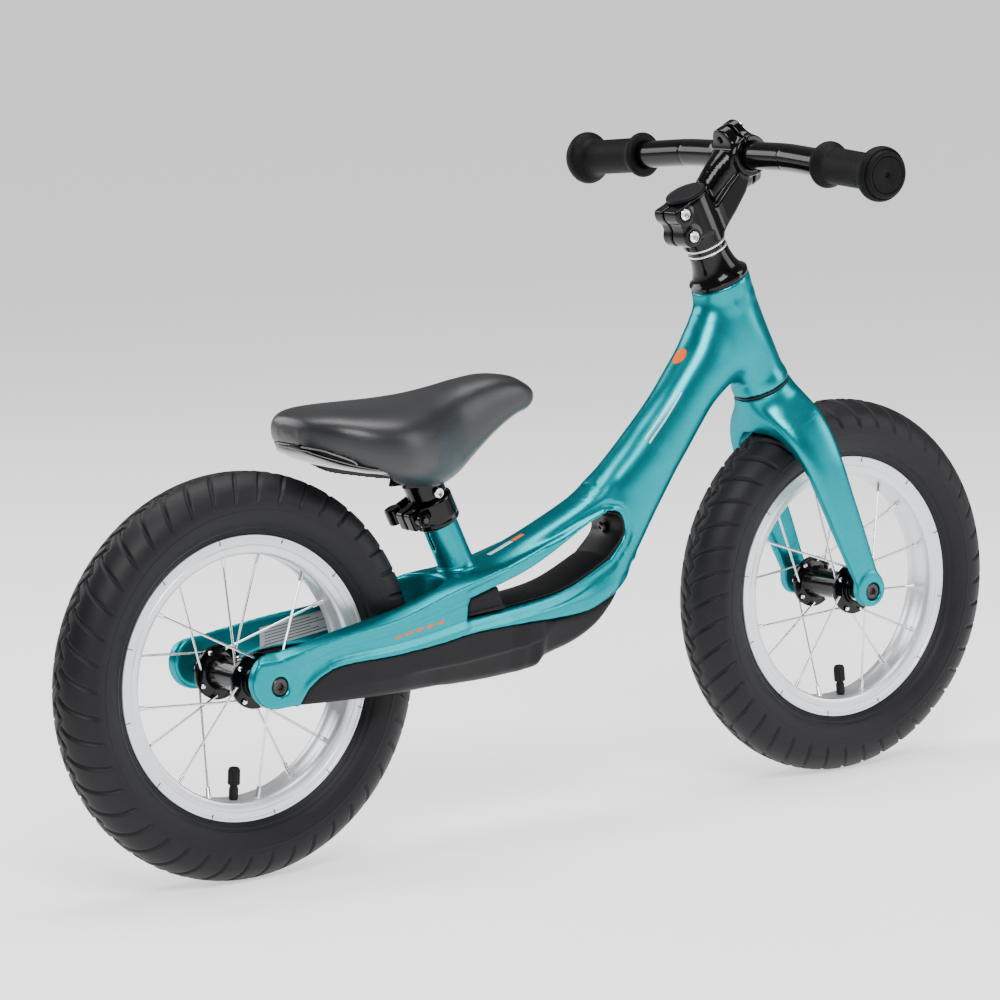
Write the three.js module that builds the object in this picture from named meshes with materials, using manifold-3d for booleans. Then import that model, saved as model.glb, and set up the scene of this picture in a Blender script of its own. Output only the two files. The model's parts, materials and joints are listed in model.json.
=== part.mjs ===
// Child's balance bike: a cast frame with a carrying handle, a cast fork, and two 12-inch spoked wheels.
// Millimetres. +X forward, +Y to the rider's left, +Z up; origin on the ground, midway between the axles.
import * as THREE from "three";
import { mergeVertices } from "three/addons/utils/BufferGeometryUtils.js";
import Module from "manifold-3d";

const wasm = await Module();
wasm.setup();

// ---- driving dimensions -------------------------------------------------------------------------
const WHEELBASE = 580;
const TYRE_RADIUS = 153.5; // from the axle to the ground
const TYRE_HALF_WIDTH = 24.75;
const RIM_RADIUS = 107;
const RIM_BED_RADIUS = 92.5;
const RIM_HALF_WIDTH = 15;
const HEAD_ANGLE = rad(24.8); // steering axis, back from the vertical
const STEER_LEAD = 7; // the steering axis crosses axle height this far ahead of the axle
const HEAD_BOTTOM = 190.2; // distances along the steering axis, from axle height
const HEAD_TOP = 286.5;
const SEAT_ANGLE = rad(24); // seat tube, back from the vertical
const SEAT_TOP = new THREE.Vector3(-103, 0, 248.5); // where the seat tube goes into its clamp
const REAR_DROPOUT_OUTER = 60.3;
const REAR_DROPOUT_INNER = 50;
const FRONT_DROPOUT_OUTER = 50.3;
const FRONT_DROPOUT_INNER = 42;
const AXLE_BORE = 5.4; // the hub's bearings and spacers slide on the axle with this radius
const HUB_FLANGE_RADIUS = 21;
const HUB_FLANGE_AT = 25; // each flange's middle, from the wheel's middle
const SPOKES = 16;
const BAR_RADIUS = 11.1;
const BAR_BEND_AT = 62; // the bar is straight out to here, then sweeps back and down
const BAR_SWEEP = rad(4.7);
const BAR_DROP = rad(3.8);
const GRIP_INNER_AT = 114;
const BAR_HALF_WIDTH = 189;
const POST_RADIUS = 11.1;
const GAP = 0.4; // between pieces that touch
const WHEEL_SIDES = 28;

const FRAME_LOW = 122; // a height below everything on the frame
const AXLE_X = WHEELBASE / 2;

function rad(degrees) {
  return (degrees * Math.PI) / 180;
}

// ---- finishes -----------------------------------------------------------------------------------
const finish = (color, roughness, metalness) =>
  new THREE.MeshStandardMaterial({ color, roughness, metalness });
const TEAL = finish(0x00a9b4, 0.3, 0.5);
const BLACK_PLASTIC = finish(0x2b2a2e, 0.65, 0);
const BLACK_PAINT = finish(0x0c0c0f, 0.25, 0.2);
const RUBBER = finish(0x1b1b1e, 0.8, 0);
const VINYL = finish(0x27282b, 0.6, 0);
const SILVER = finish(0xc9cbcc, 0.35, 0.9);
const STEEL = finish(0xd6d7d8, 0.25, 1);

// ---- solids -------------------------------------------------------------------------------------
// A closed geometry as a manifold-3d solid, turned the right way out.
function solid(geometry) {
  const bare = geometry.index ? geometry.toNonIndexed() : geometry.clone();
  bare.deleteAttribute("normal");
  bare.deleteAttribute("uv");
  const merged = mergeVertices(bare, 1e-4);
  const triVerts = new Uint32Array(merged.index.array);
  const vertProperties = merged.attributes.position.array;
  const made = new wasm.Manifold(new wasm.Mesh({ numProp: 3, vertProperties, triVerts }));
  if (made.volume() >= 0) return made;
  triVerts.reverse();
  return new wasm.Manifold(new wasm.Mesh({ numProp: 3, vertProperties, triVerts }));
}

function geometryOf(made) {
  const mesh = made.getMesh();
  const geometry = new THREE.BufferGeometry();
  geometry.setAttribute("position", new THREE.BufferAttribute(mesh.vertProperties, 3));
  geometry.setIndex(new THREE.BufferAttribute(mesh.triVerts, 1));
  geometry.computeVertexNormals();
  return geometry;
}

function join(...geometries) {
  return geometries.map(asSolid).reduce((a, b) => a.add(b));
}

function cut(from, ...geometries) {
  return geometries.map(asSolid).reduce((a, b) => a.subtract(b), asSolid(from));
}

function asSolid(shape) {
  return shape.isBufferGeometry ? solid(shape) : shape;
}

function moved(shape, matrix) {
  return solid((shape.isBufferGeometry ? shape.clone() : geometryOf(shape)).applyMatrix4(matrix));
}

function piece(name, shape, material) {
  const mesh = new THREE.Mesh(geometryOf(asSolid(shape)), material);
  mesh.name = name;
  return mesh;
}

// A cylinder along Y, as an axle lies.
function crossRod(radius, from, to, x = 0, z = 0, sides = 20) {
  const rod = new THREE.CylinderGeometry(radius, radius, to - from, sides);
  return rod.translate(x, (from + to) / 2, z);
}

// A cylinder along Z, as a steerer stands in its own frame.
function post(radius, from, to, x = 0, sides = 20) {
  const rod = new THREE.CylinderGeometry(radius, radius, to - from, sides);
  return rod.rotateX(Math.PI / 2).translate(x, 0, (from + to) / 2);
}

// A turned piece: its closed outline is a list of [radius, distance along the axis].
function turned(outline, axis, sides = 20, turn = 0) {
  const closed = [...outline, outline[0]].map(([r, y]) => new THREE.Vector2(r, y));
  const geometry = new THREE.LatheGeometry(closed, sides).rotateY(turn);
  return axis === "z" ? geometry.rotateX(Math.PI / 2) : geometry;
}

function ring(inner, outer, from, to, axis, sides = 20) {
  return turned([[inner, from], [outer, from], [outer, to], [inner, to]], axis, sides);
}

// A flat outline of the side view, [x, z] points or a Shape, as thick as from y = -half to +half.
function plate(outline, half) {
  const shape = outline.isShape ? outline : new THREE.Shape(outline.map(([x, z]) => new THREE.Vector2(x, z)));
  const settings = { depth: 2 * half, bevelEnabled: false, curveSegments: 6 };
  return new THREE.ExtrudeGeometry(shape, settings).rotateX(Math.PI / 2).translate(0, half, 0);
}

// A plan outline, [x, y] points, from z = low to high.
function slab(outline, low, high) {
  const shape = new THREE.Shape(outline.map(([x, y]) => new THREE.Vector2(x, y)));
  const depth = high - low;
  return new THREE.ExtrudeGeometry(shape, { depth, bevelEnabled: false }).translate(0, 0, low);
}

// A skin over rings of points, closed by a fan at each end.
function skin(rings) {
  const sides = rings[0].length;
  const points = rings.flat();
  const ends = [rings[0], rings.at(-1)].map((r) =>
    r.reduce((sum, p) => sum.add(p), new THREE.Vector3()).divideScalar(sides));
  const faces = [];
  for (let i = 0; i + 1 < rings.length; i++)
    for (let k = 0; k < sides; k++) {
      const a = i * sides + k;
      const b = i * sides + ((k + 1) % sides);
      faces.push(a, b, a + sides, b, b + sides, a + sides);
    }
  const last = (rings.length - 1) * sides;
  for (let k = 0; k < sides; k++) {
    const next = (k + 1) % sides;
    faces.push(points.length, next, k);
    faces.push(points.length + 1, last + k, last + next);
  }
  const geometry = new THREE.BufferGeometry().setFromPoints([...points, ...ends]);
  return geometry.setIndex(faces);
}

// A superellipse ring about a centre: half sizes along two directions.
function oval(centre, u, v, halfU, halfV, squareness = 2.4, sides = 16) {
  const power = 2 / squareness;
  return Array.from({ length: sides }, (_, k) => {
    const angle = ((k + 0.5) * 2 * Math.PI) / sides;
    const c = Math.cos(angle);
    const s = Math.sin(angle);
    return centre.clone()
      .addScaledVector(u, halfU * Math.sign(c) * Math.abs(c) ** power)
      .addScaledVector(v, halfV * Math.sign(s) * Math.abs(s) ** power);
  });
}

// A limb through stations [x, y, z, half height, half width]: smooth between them, its sections square
// to its path, with their width held along `across`.
function limb(stations, steps, across, squareness, sides) {
  const path = new THREE.CatmullRomCurve3(stations.map(([x, y, z]) => new THREE.Vector3(x, y, z)));
  const sizes = new THREE.CatmullRomCurve3(stations.map(([, , , a, b]) => new THREE.Vector3(a, b, 0)));
  return skin(Array.from({ length: steps + 1 }, (_, i) => {
    const t = i / steps;
    const size = sizes.getPoint(t);
    const side = across(path.getPoint(t), path.getTangent(t));
    const up = side.clone().cross(path.getTangent(t)).normalize();
    return oval(path.getPoint(t), up, side, size.x, size.y, squareness, sides);
  }));
}
const UP = new THREE.Vector3(0, 0, 1);
const LEFT = new THREE.Vector3(0, 1, 0);
const AHEAD = new THREE.Vector3(1, 0, 0);
const alongY = () => LEFT;

// ---- placing frames -----------------------------------------------------------------------------
const STEER = new THREE.Matrix4().makeRotationY(-HEAD_ANGLE).setPosition(AXLE_X + STEER_LEAD, 0, TYRE_RADIUS);
const SEAT = new THREE.Matrix4().makeRotationY(-SEAT_ANGLE).setPosition(SEAT_TOP);

function placed(matrix, ...children) {
  const group = new THREE.Group();
  matrix.decompose(group.position, group.quaternion, group.scale);
  group.add(...children);
  return group;
}

// ---- wheels -------------------------------------------------------------------------------------
// Half of a closed outline, mirrored to the other side of the wheel: [radius, y] points.
const bothSides = (half) => [...half, ...half.map(([r, y]) => [r, -y]).reverse()];
const TUBE_SIDES = 14;
const VALVE_CAP_TOP = 68; // from the axle
const NIPPLE_HOLE_RADIUS = 5;
const NIPPLE_OFF_MIDDLE = 4; // the rim's spoke holes stand this far to each side
const NIPPLE_LENGTH = 11;
const SPOKE_OFF_FLANGE = 4.5; // a spoke leaves its flange this far from the flange's middle
const HALF_FACET = Math.PI / WHEEL_SIDES; // turns a flat facet, not a corner, to the ground

function tyre() {
  const crown = TYRE_RADIUS / Math.cos(HALF_FACET);
  const outside = [[103.5, 12.3], [107.8, 12.5], [118, 22.4], [131, TYRE_HALF_WIDTH], [145, 19], [crown, 5]];
  const inside = [[149.4, 4], [136, 19.5], [103.5, 9.3]];
  const outline = [...bothSides(outside), ...bothSides(inside.reverse()).reverse()];
  return turned(outline, "y", WHEEL_SIDES, HALF_FACET);
}

// The tube is a thin ring with its valve stem on; the stem's bore opens the ring to the air.
function innerTube() {
  const loop = (radius, half) => Array.from({ length: 6 }, (_, k) => {
    const angle = ((k + 0.5) * Math.PI) / 3;
    return [126 + radius * Math.cos(angle), half * Math.sin(angle)];
  });
  const ringOf = (radius, half) => turned(loop(radius, half), "y", TUBE_SIDES);
  const stem = post(3.2, -109, -VALVE_CAP_TOP - 2.5, 0, 8);
  const bore = post(1.2, -112, -60, 0, 4);
  return cut(join(cut(ringOf(21, 15), ringOf(19.4, 13.4)), stem), bore);
}

function valveCap() {
  const fromTop = [[0, 0], [3.6, 0], [4.6, 2.5], [4.6, 13.5], [3.7, 13.5], [3.7, 2], [0, 2]];
  return turned(fromTop.map(([r, down]) => [r, -VALVE_CAP_TOP - down]), "z", 8);
}

function rim() {
  const half = [[RIM_RADIUS, RIM_HALF_WIDTH], [96, RIM_HALF_WIDTH], [RIM_BED_RADIUS, 11]];
  const channel = [[95.2, -9.5], [98, -12.9], [RIM_RADIUS, -12.9]];
  const outline = [...bothSides(half), ...bothSides(channel.reverse())];
  const holes = spokeEnds().map(({ outer }) => {
    const hole = new THREE.CylinderGeometry(NIPPLE_HOLE_RADIUS, NIPPLE_HOLE_RADIUS, 14, 4);
    hole.translate(0, RIM_BED_RADIUS + 1, 0).rotateX(Math.PI / 2);
    return hole.rotateY(outer.angle).translate(0, outer.y, 0);
  });
  return cut(turned(outline, "y", WHEEL_SIDES, HALF_FACET), post(3.8, -100, -86, 0, 10), ...holes);
}

// Each spoke's hub end and rim end, as a turn about the axle from straight up, and a distance across.
// Spokes go to the two flanges in turn; on each flange neighbours swap places, so each pair crosses
// once, one on the flange's outer face and one on its inner face.
function spokeEnds() {
  const step = (2 * Math.PI) / SPOKES;
  return Array.from({ length: SPOKES }, (_, i) => {
    const side = i % 2 ? -1 : 1;
    const leading = i % 4 < 2;
    const rimAngle = (i + 0.5) * step;
    const hubAngle = rimAngle + (leading ? 2 : -2) * step;
    const face = leading ? SPOKE_OFF_FLANGE : -SPOKE_OFF_FLANGE;
    return {
      hub: { angle: hubAngle, y: side * (HUB_FLANGE_AT + face) },
      outer: { angle: rimAngle, y: side * NIPPLE_OFF_MIDDLE },
    };
  });
}

// The spokes with their nipples, on the rim strip that covers the nipples' heads.
function spokes() {
  const at = ({ angle, y }, radius) =>
    new THREE.Vector3(radius * Math.sin(angle), y, radius * Math.cos(angle));
  const rods = spokeEnds().map(({ hub, outer }) => {
    const from = at(hub, 18);
    const along = at(outer, 96.4).sub(from);
    const length = along.length();
    const nipple = length - NIPPLE_LENGTH;
    const outline = [[0, 0], [1.1, 0], [1.1, nipple], [2.1, nipple], [2.1, length], [0, length]];
    const turn = new THREE.Quaternion().setFromUnitVectors(new THREE.Vector3(0, 1, 0), along.normalize());
    return turned(outline, "y", 4).applyQuaternion(turn).translate(...from);
  });
  const strip = ring(97.4, 98.7, -8.5, 8.5, "y", SPOKES);
  return join(cut(strip, post(4, -104, -90, 0, 8)), ...rods);
}

function hub() {
  const half = [
    [5.8, 22], [10, 22], [10, 31], [12.5, 31], [12.5, 26.5],
    [HUB_FLANGE_RADIUS, 26.5], [HUB_FLANGE_RADIUS, 23.5], [13, 21.5],
  ];
  return turned(bothSides(half), "y", 14);
}

// A socket-head bolt along +Y, its head first.
function hexBolt(headRadius, headLength, radius, length, sides = 10) {
  const head = [[0, 0], [headRadius, 0], [headRadius, headLength]];
  const body = turned([...head, [radius, headLength], [radius, length], [0, length]], "y", sides);
  const socketRadius = headRadius * 0.48;
  return cut(body, new THREE.CylinderGeometry(socketRadius, socketRadius, headLength, 6));
}

// A wheel that has rolled on by `turn`, with its tyre's lowest facet still flat on the ground.
function wheel(name, turn) {
  const group = new THREE.Group();
  const rolled = new THREE.Group();
  rolled.rotation.y = turn;
  group.add(piece(name + "_tyre", tyre(), RUBBER), rolled);
  rolled.add(
    piece(name + "_inner_tube", innerTube(), RUBBER),
    piece(name + "_valve_cap", valveCap(), BLACK_PLASTIC),
    piece(name + "_rim", rim(), SILVER),
    piece(name + "_spokes", spokes(), STEEL),
    piece(name + "_hub", hub(), BLACK_PAINT),
  );
  for (const [side, sign] of [["left", 1], ["right", -1]])
    group.add(piece(
      `${name}_bearing_${side}`,
      ring(AXLE_BORE, 9.6, sign * 22.4, sign * 30.6, "y", 12),
      STEEL,
    ));
  return group;
}

// The axle with a spacer each side of the hub, and a bolt through each dropout into its end.
function axle(name, dropoutInner, dropoutOuter) {
  const group = new THREE.Group();
  const end = dropoutInner - GAP;
  group.add(piece(name + "_axle", ring(3.4, 5, -end, end, "y", 10), STEEL));
  for (const [side, sign] of [["left", 1], ["right", -1]]) {
    const steps = [[AXLE_BORE, 31.2], [8.5, 31.2], [8.5, 35], [7, 37], [7, end], [AXLE_BORE, end]];
    const spacer = turned(steps, "y", 12);
    const bolt = geometryOf(hexBolt(6.7, 3.2, 3, 24)).rotateX(sign > 0 ? Math.PI : 0);
    bolt.translate(0, sign * (dropoutOuter - 0.6), 0);
    group.add(
      piece(`${name}_spacer_${side}`, spacer.rotateX(sign > 0 ? 0 : Math.PI), BLACK_PAINT),
      piece(`${name}_axle_bolt_${side}`, bolt, BLACK_PAINT),
    );
  }
  return group;
}

// A bolt seat and hole through the dropouts on both sides, at a wheel's axle.
function axleHoles(x, z, outer) {
  const floor = outer - 4.2;
  const beyond = outer + 9;
  return [
    crossRod(3.5, -beyond, beyond, x, z, 12),
    crossRod(7.6, floor, beyond, x, z, 16),
    crossRod(7.6, -beyond, -floor, x, z, 16),
  ];
}

// ---- frame --------------------------------------------------------------------------------------
// The lower body along the bike: [x, underside, top, half width]. It carries the chin ahead of the
// handle opening, the footrest cover below, and both stays behind.
const BODY = [
  [124, 271, 288, 18], [112, 254, 290, 19], [97, 236, 282, 18.5], [84, 217, 270, 19.5], [72, 196, 263, 20.5],
  [60, 177, 250, 22.5], [50, 166, 225, 24], [36, 153.5, 215, 25.5], [19, 143.5, 208, 26.5],
  [-1, 137.5, 200, 28], [-26, 130.5, 194, 30], [-60, 126, 190, 32.5], [-90, 126.5, 188, 36],
  [-106, 127.5, 206, 38], [-130, 129, 205, 42],
  [-160, 130.5, 200, 46], [-200, 132, 192, 52], [-240, 134.5, 188, 56], [-272, 137.5, 183.5, 59],
  [-290, 137, 179, 60], [-305, 142, 174, 60], [-312, 152, 165, 60],
];
// The spar from the head tube over the opening to the yoke: [x, y, z, half height, half width].
const SPAR = [
  [186, 0, 376, 34, 19], [172, 0, 362, 31, 21], [160, 0, 348, 27, 22], [143.5, 0, 331, 24.3, 21.2],
  [130.5, 0, 315, 24.3, 20.7], [115, 0, 299, 22.5, 20.4], [94, 0, 284.5, 17, 20.3], [74, 0, 274, 12.5, 20.3],
  [57, 0, 261.5, 11, 20], [42, 0, 250, 10, 19.5], [22, 0, 239, 9, 19], [-18, 0, 223, 8.2, 18.5],
  [-60, 0, 208.5, 8.8, 20], [-86, 0, 202, 10, 24], [-115, 0, 197, 10, 30],
];
const SEAM = [
  [120, 205], [74, 199], [66, 187], [54, 179], [36, 173], [16, 168], [-18, 166.5], [-91, 166.5], [-133, 163],
  [-174, 161], [-227, 161], [-247, 157], [-262, 149], [-274, 134], [-276, FRAME_LOW],
];

function bodyBetween(first, last, grow, top) {
  const rings = BODY.filter(([x]) => x <= first && x >= last).map(([x, low, high, half]) => {
    const z0 = low - grow;
    const z1 = top ?? high + grow;
    const centre = new THREE.Vector3(x, 0, (z0 + z1) / 2);
    return oval(centre, UP, LEFT, (z1 - z0) / 2, half + grow, 3.6, 12);
  });
  return skin(rings);
}

function openingOutline(inset) {
  const spline = (points) => {
    const through = points.map(([x, z]) => new THREE.Vector2(x, z));
    return new THREE.SplineCurve(through).getPoints(5);
  };
  const over = spline([[-100, 191], [-38, 206.5], [18, 232.5], [44, 243.5]]);
  const nose = spline([[44, 243.5], [55, 241], [60, 231], [58, 220], [43, 205]]).slice(1, -1);
  const under = spline([[43, 205], [4, 188.3], [-37, 181.3], [-103, 176.5]]);
  const loop = [...over, ...nose, ...under];
  return loop.map((p, i) => {
    const ahead = loop[(i + 1) % loop.length].clone().sub(p).normalize();
    const behind = p.clone().sub(loop.at(i - 1)).normalize();
    const along = ahead.add(behind).normalize();
    return [p.x + inset * along.y, p.y - inset * along.x];
  });
}

const WHEEL_WELL = (() => {
  const arc = Array.from({ length: 9 }, (_, i) => {
    const angle = Math.PI / 2 - (i * Math.PI) / 8;
    return [-131 + 31 * Math.cos(angle), 31 * Math.sin(angle)];
  });
  const side = [[-330, REAR_DROPOUT_INNER], [-268, REAR_DROPOUT_INNER], [-200, 39]];
  return [...side, ...arc, ...side.map(([x, y]) => [x, -y]).reverse()];
})();

const SEAT_BORE_FOOT = -52; // how far the seat post's bore goes below the clamp
const COVER_SCREWS = [{ x: -6, floor: 136.4 }, { x: -75, floor: 126.2 }]; // places, and their seats' heights

function headTube() {
  const outline = [
    [0, HEAD_BOTTOM], [23.7, HEAD_BOTTOM], [23.7, 194], [22.8, 200], [22.6, 240], [23.2, 276],
    [24.1, 282], [24.1, HEAD_TOP], [0, HEAD_TOP],
  ];
  return moved(turned(outline, "z", 20), STEER);
}

function frame() {
  const dropouts = [1, -1].map((sign) => {
    const from = sign * REAR_DROPOUT_INNER;
    const to = sign * REAR_DROPOUT_OUTER;
    return crossRod(21, Math.min(from, to), Math.max(from, to), -292, 158, 20);
  });
  const seatTube = turned([[0, -78], [18, -78], [18, -46], [13.85, -38], [13.85, 18], [0, 18]], "z", 16);
  const underSeam = plate([...SEAM, [120, FRAME_LOW]], 80);
  const pocket = bodyBetween(45, -90, -6, 172);
  const bosses = COVER_SCREWS.map(({ x, floor }) => post(5, floor + 6, 175, x, 8));
  const bossHoles = COVER_SCREWS.map(({ x, floor }) => post(1.9, floor, floor + 22, x, 6));
  const body = cut(bodyBetween(200, -400, 0), underSeam);
  const spar = limb(SPAR, 20, alongY, 2.5, 12);
  const outside = join(body, spar, headTube(), moved(seatTube, SEAT), ...dropouts);
  const shell = cut(
    outside,
    plate(openingOutline(0), 60),
    slab(WHEEL_WELL, FRAME_LOW - 9, 240),
    pocket,
    moved(post(15, 150, 300, 0, 16), STEER),
    moved(post(17.9, 150, 197, 0, 16), STEER),
    moved(post(17.9, 279, 300, 0, 16), STEER),
    moved(post(POST_RADIUS + GAP, SEAT_BORE_FOOT, 30, 0, 14), SEAT),
    ...axleHoles(-AXLE_X, TYRE_RADIUS, REAR_DROPOUT_OUTER),
  );
  return cut(join(shell, ...bosses), ...bossHoles);
}

function footrestCover() {
  const seam = SEAM.map(([x, z]) => [x, z - GAP]);
  const overSeam = plate([...seam, [-340, FRAME_LOW], [-340, 300], [120, 300]], 80);
  const hollow = bodyBetween(60, -90, -3, 260);
  const well = slab(WHEEL_WELL, FRAME_LOW - 9, 240);
  const screwHoles = COVER_SCREWS.flatMap(({ x, floor }) => [
    post(2.2, floor - 9, floor + 9, x, 8),
    post(4.6, floor - 9, floor + 0.6, x, 10),
  ]);
  return cut(bodyBetween(100, -280, 0), overSeam, well, hollow, ...screwHoles);
}

// The lining is narrower along the top of the opening, where the spar is.
function handleLining() {
  const loop = (half) => cut(plate(openingOutline(GAP), half), plate(openingOutline(3.4), half + 1));
  const over = plate([[-110, 184], [-64, 189], [10, 207], [52, 238], [60, 260], [-110, 260]], 40);
  const behind = plate([[-110, 160], [-62, 160], [-68, 210], [-110, 210]], 40);
  return cut(join(loop(16.5), cut(loop(21.5), over)), behind);
}

function openingBlock() {
  return plate([[-101, 178], [-98.2, 190.6], [-71, 197], [-64.5, 180.2]], 30);
}

function coverScrew({ x, floor }) {
  const outline = [[0, -1.2], [4, -1.2], [4, 0.2], [1.6, 0.2], [1.6, 15], [0, 15]];
  return turned(outline, "z", 10).translate(x, 0, floor);
}

// ---- seat ---------------------------------------------------------------------------------------
// Pieces on the seat post are drawn in its own frame: +Z up along the post, +X ahead of it.
const SKEWER = { x: -20, z: 15 };

const CAM_AT = 24.2; // the lever's pin, out to the left
const SADDLE_BOLT_AT = 28.5;
const saddleBoltHole = () => crossRod(2.9, -30, 30, 0, SADDLE_BOLT_AT, 8);

function seatClamp() {
  const ears = new THREE.BoxGeometry(15, 21, 15).translate(SKEWER.x, 0, SKEWER.z);
  const band = post(17.6, GAP, 22.5, 0, 20);
  const slot = new THREE.BoxGeometry(26, 2.4, 60).translate(-25, 0, 8);
  return cut(
    join(band, ears),
    post(14.25, -1, 18.6, 0, 20),
    post(POST_RADIUS + GAP, 17, 30, 0, 20),
    slot,
    crossRod(2.9, -30, 30, SKEWER.x, SKEWER.z, 8),
  );
}

function skewer() {
  return crossRod(2.5, -19, 17, SKEWER.x, SKEWER.z, 8);
}

function skewerNut() {
  return cut(crossRod(5.6, -17, -10.9, SKEWER.x, SKEWER.z, 12), crossRod(2.9, -30, 0, SKEWER.x, SKEWER.z, 8));
}

// Its cam turns on a pin beyond the skewer's end; the blade curls forward round the clamp.
function clampLever() {
  const cam = post(6.5, SKEWER.z - 6.5, SKEWER.z + 6.5, SKEWER.x, 12).translate(0, CAM_AT, 0);
  const stations = [[-20, 26, 5, 3], [-10, 27, 5.5, 2.4], [4, 26, 6.5, 2.2], [17, 22, 5, 2]]
    .map(([x, y, ...sizes]) => [x, y, SKEWER.z, ...sizes]);
  const outwards = (point, along) => new THREE.Vector3(-along.y, along.x, 0).normalize();
  const blade = limb(stations, 6, outwards, 3, 8);
  return join(cam, blade);
}

function seatPost() {
  return cut(ring(9.4, POST_RADIUS, SEAT_BORE_FOOT + 2, 40, "z", 14), saddleBoltHole());
}

// [x, underside, top, half width] along the bike.
const PAD = [
  [-238, 323, 337, 20], [-232, 318, 343, 38], [-218, 308, 346.5, 54], [-198, 298, 347.5, 64],
  [-172, 288, 347.5, 66.5], [-146, 280, 348, 59], [-122, 277.5, 350, 46], [-100, 281, 353.5, 36],
  [-80, 292, 357, 30], [-58, 307.5, 359, 25.5], [-36, 322, 356, 20.5], [-24, 330, 350, 15],
  [-16, 335, 342, 7],
];
const BASE = [
  [-235, 309, 322, 20], [-226, 304, 323, 42], [-210, 300, 323, 54], [-190, 298, 322, 59],
  [-172, 296, 322, 57], [-146, 295, 324, 48], [-122, 295, 328, 35], [-100, 300, 332, 25],
  [-80, 308, 336, 19], [-58, 320, 339, 14], [-36, 330, 340, 8],
];

function seatLoft(stations, grow, squareness) {
  const rings = stations.map(([x, low, high, half], i) => {
    const end = i === 0 ? -1 : i === stations.length - 1 ? 1 : 0;
    const centre = new THREE.Vector3(x + end * grow, 0, (low + high) / 2);
    return oval(centre, UP, LEFT, (high - low) / 2 + grow, half + grow, squareness, 14);
  });
  return skin(rings);
}

// The pad's sides hang down past the base as skirts, except at the back, where the base shows.
const SKIRT_FROM = -180;
const SKIRT = 9;

function saddlePad() {
  const below = BASE.map(([x, low, high, half]) => [
    x, low - 60, (low + high) / 2, x > SKIRT_FROM ? Math.max(half - SKIRT, 6) : half,
  ]);
  return cut(seatLoft(PAD, 0, 2.6), seatLoft(BASE, GAP, 3.2), seatLoft(below, GAP, 3.2));
}

function saddleBracket() {
  const flat = { x: -128, top: 294.3 };
  const plateTop = new THREE.BoxGeometry(46, 30, 5).translate(flat.x, 0, flat.top - 2.5);
  const socket = moved(post(15.5, 24, 46, 0, 14), SEAT);
  const bore = moved(post(POST_RADIUS + GAP, 10, 40.5, 0, 14), SEAT);
  const trim = new THREE.BoxGeometry(90, 90, 30).translate(flat.x, 0, flat.top + 15);
  return cut(join(plateTop, socket), bore, trim, moved(saddleBoltHole(), SEAT));
}

// ---- steering -----------------------------------------------------------------------------------
// Pieces that steer are drawn in the steering frame: +Z up along the steerer, +X ahead of it.
const FRONT_AXLE = { x: -STEER_LEAD * Math.cos(HEAD_ANGLE), z: STEER_LEAD * Math.sin(HEAD_ANGLE) };
const CROWN_TOP = 187.4;
const STEERER_RADIUS = 12.7;
const STEM_BOTTOM = 320.6;
const STEM_TOP = 362.6;
const BAR = { x: 60.5, z: 367 };
const PINCH_X = -19.5;
const PINCH_BOLTS = [337, 357]; // heights of the bolts behind the steerer
const CAP_BOLTS = [-18.5, 18.5]; // the bar clamp's bolts, above and below the bar

// One arch from dropout to dropout over the wheel: [x, y, z, half thickness, half depth].
function forkLegs() {
  const right = [
    [-6.4, -46.1, 6, 4, 11], [-5.2, -46, 22, 4.2, 12], [-4.5, -45.5, 50, 5.4, 13.6], [-3.5, -45, 85, 7, 15.2],
    [-2, -43.8, 118, 7.8, 17.3], [-1, -37, 146, 9, 20], [0, -22, 165, 11, 22],
  ];
  const left = right.map(([x, y, ...rest]) => [x, -y, ...rest]).reverse();
  return limb([...right, [0, 0, 171, 12.5, 23], ...left], 22, () => AHEAD, 2.8, 10);
}

function fork() {
  const dropouts = [1, -1].map((sign) => {
    const ends = [sign * FRONT_DROPOUT_INNER, sign * FRONT_DROPOUT_OUTER].sort((a, b) => a - b);
    return crossRod(14, ...ends, FRONT_AXLE.x - 0.4, FRONT_AXLE.z + 2, 16);
  });
  const crown = post(23.6, 166, CROWN_TOP, 0, 18);
  return cut(
    join(forkLegs(), crown, ...dropouts),
    post(STEERER_RADIUS + GAP, 168, 200, 0, 14),
    ...axleHoles(FRONT_AXLE.x, FRONT_AXLE.z, FRONT_DROPOUT_OUTER),
  );
}

function headsetCover() {
  const outside = [[24.2, 287], [24.5, 290], [22, 292], [18.4, 299], [16.7, 306], [16.3, 313]];
  const inside = [[13.2, 313], [13.2, 302], [19.5, 290], [19.5, 287]];
  return turned([...outside, ...inside], "z", 18);
}

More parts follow.
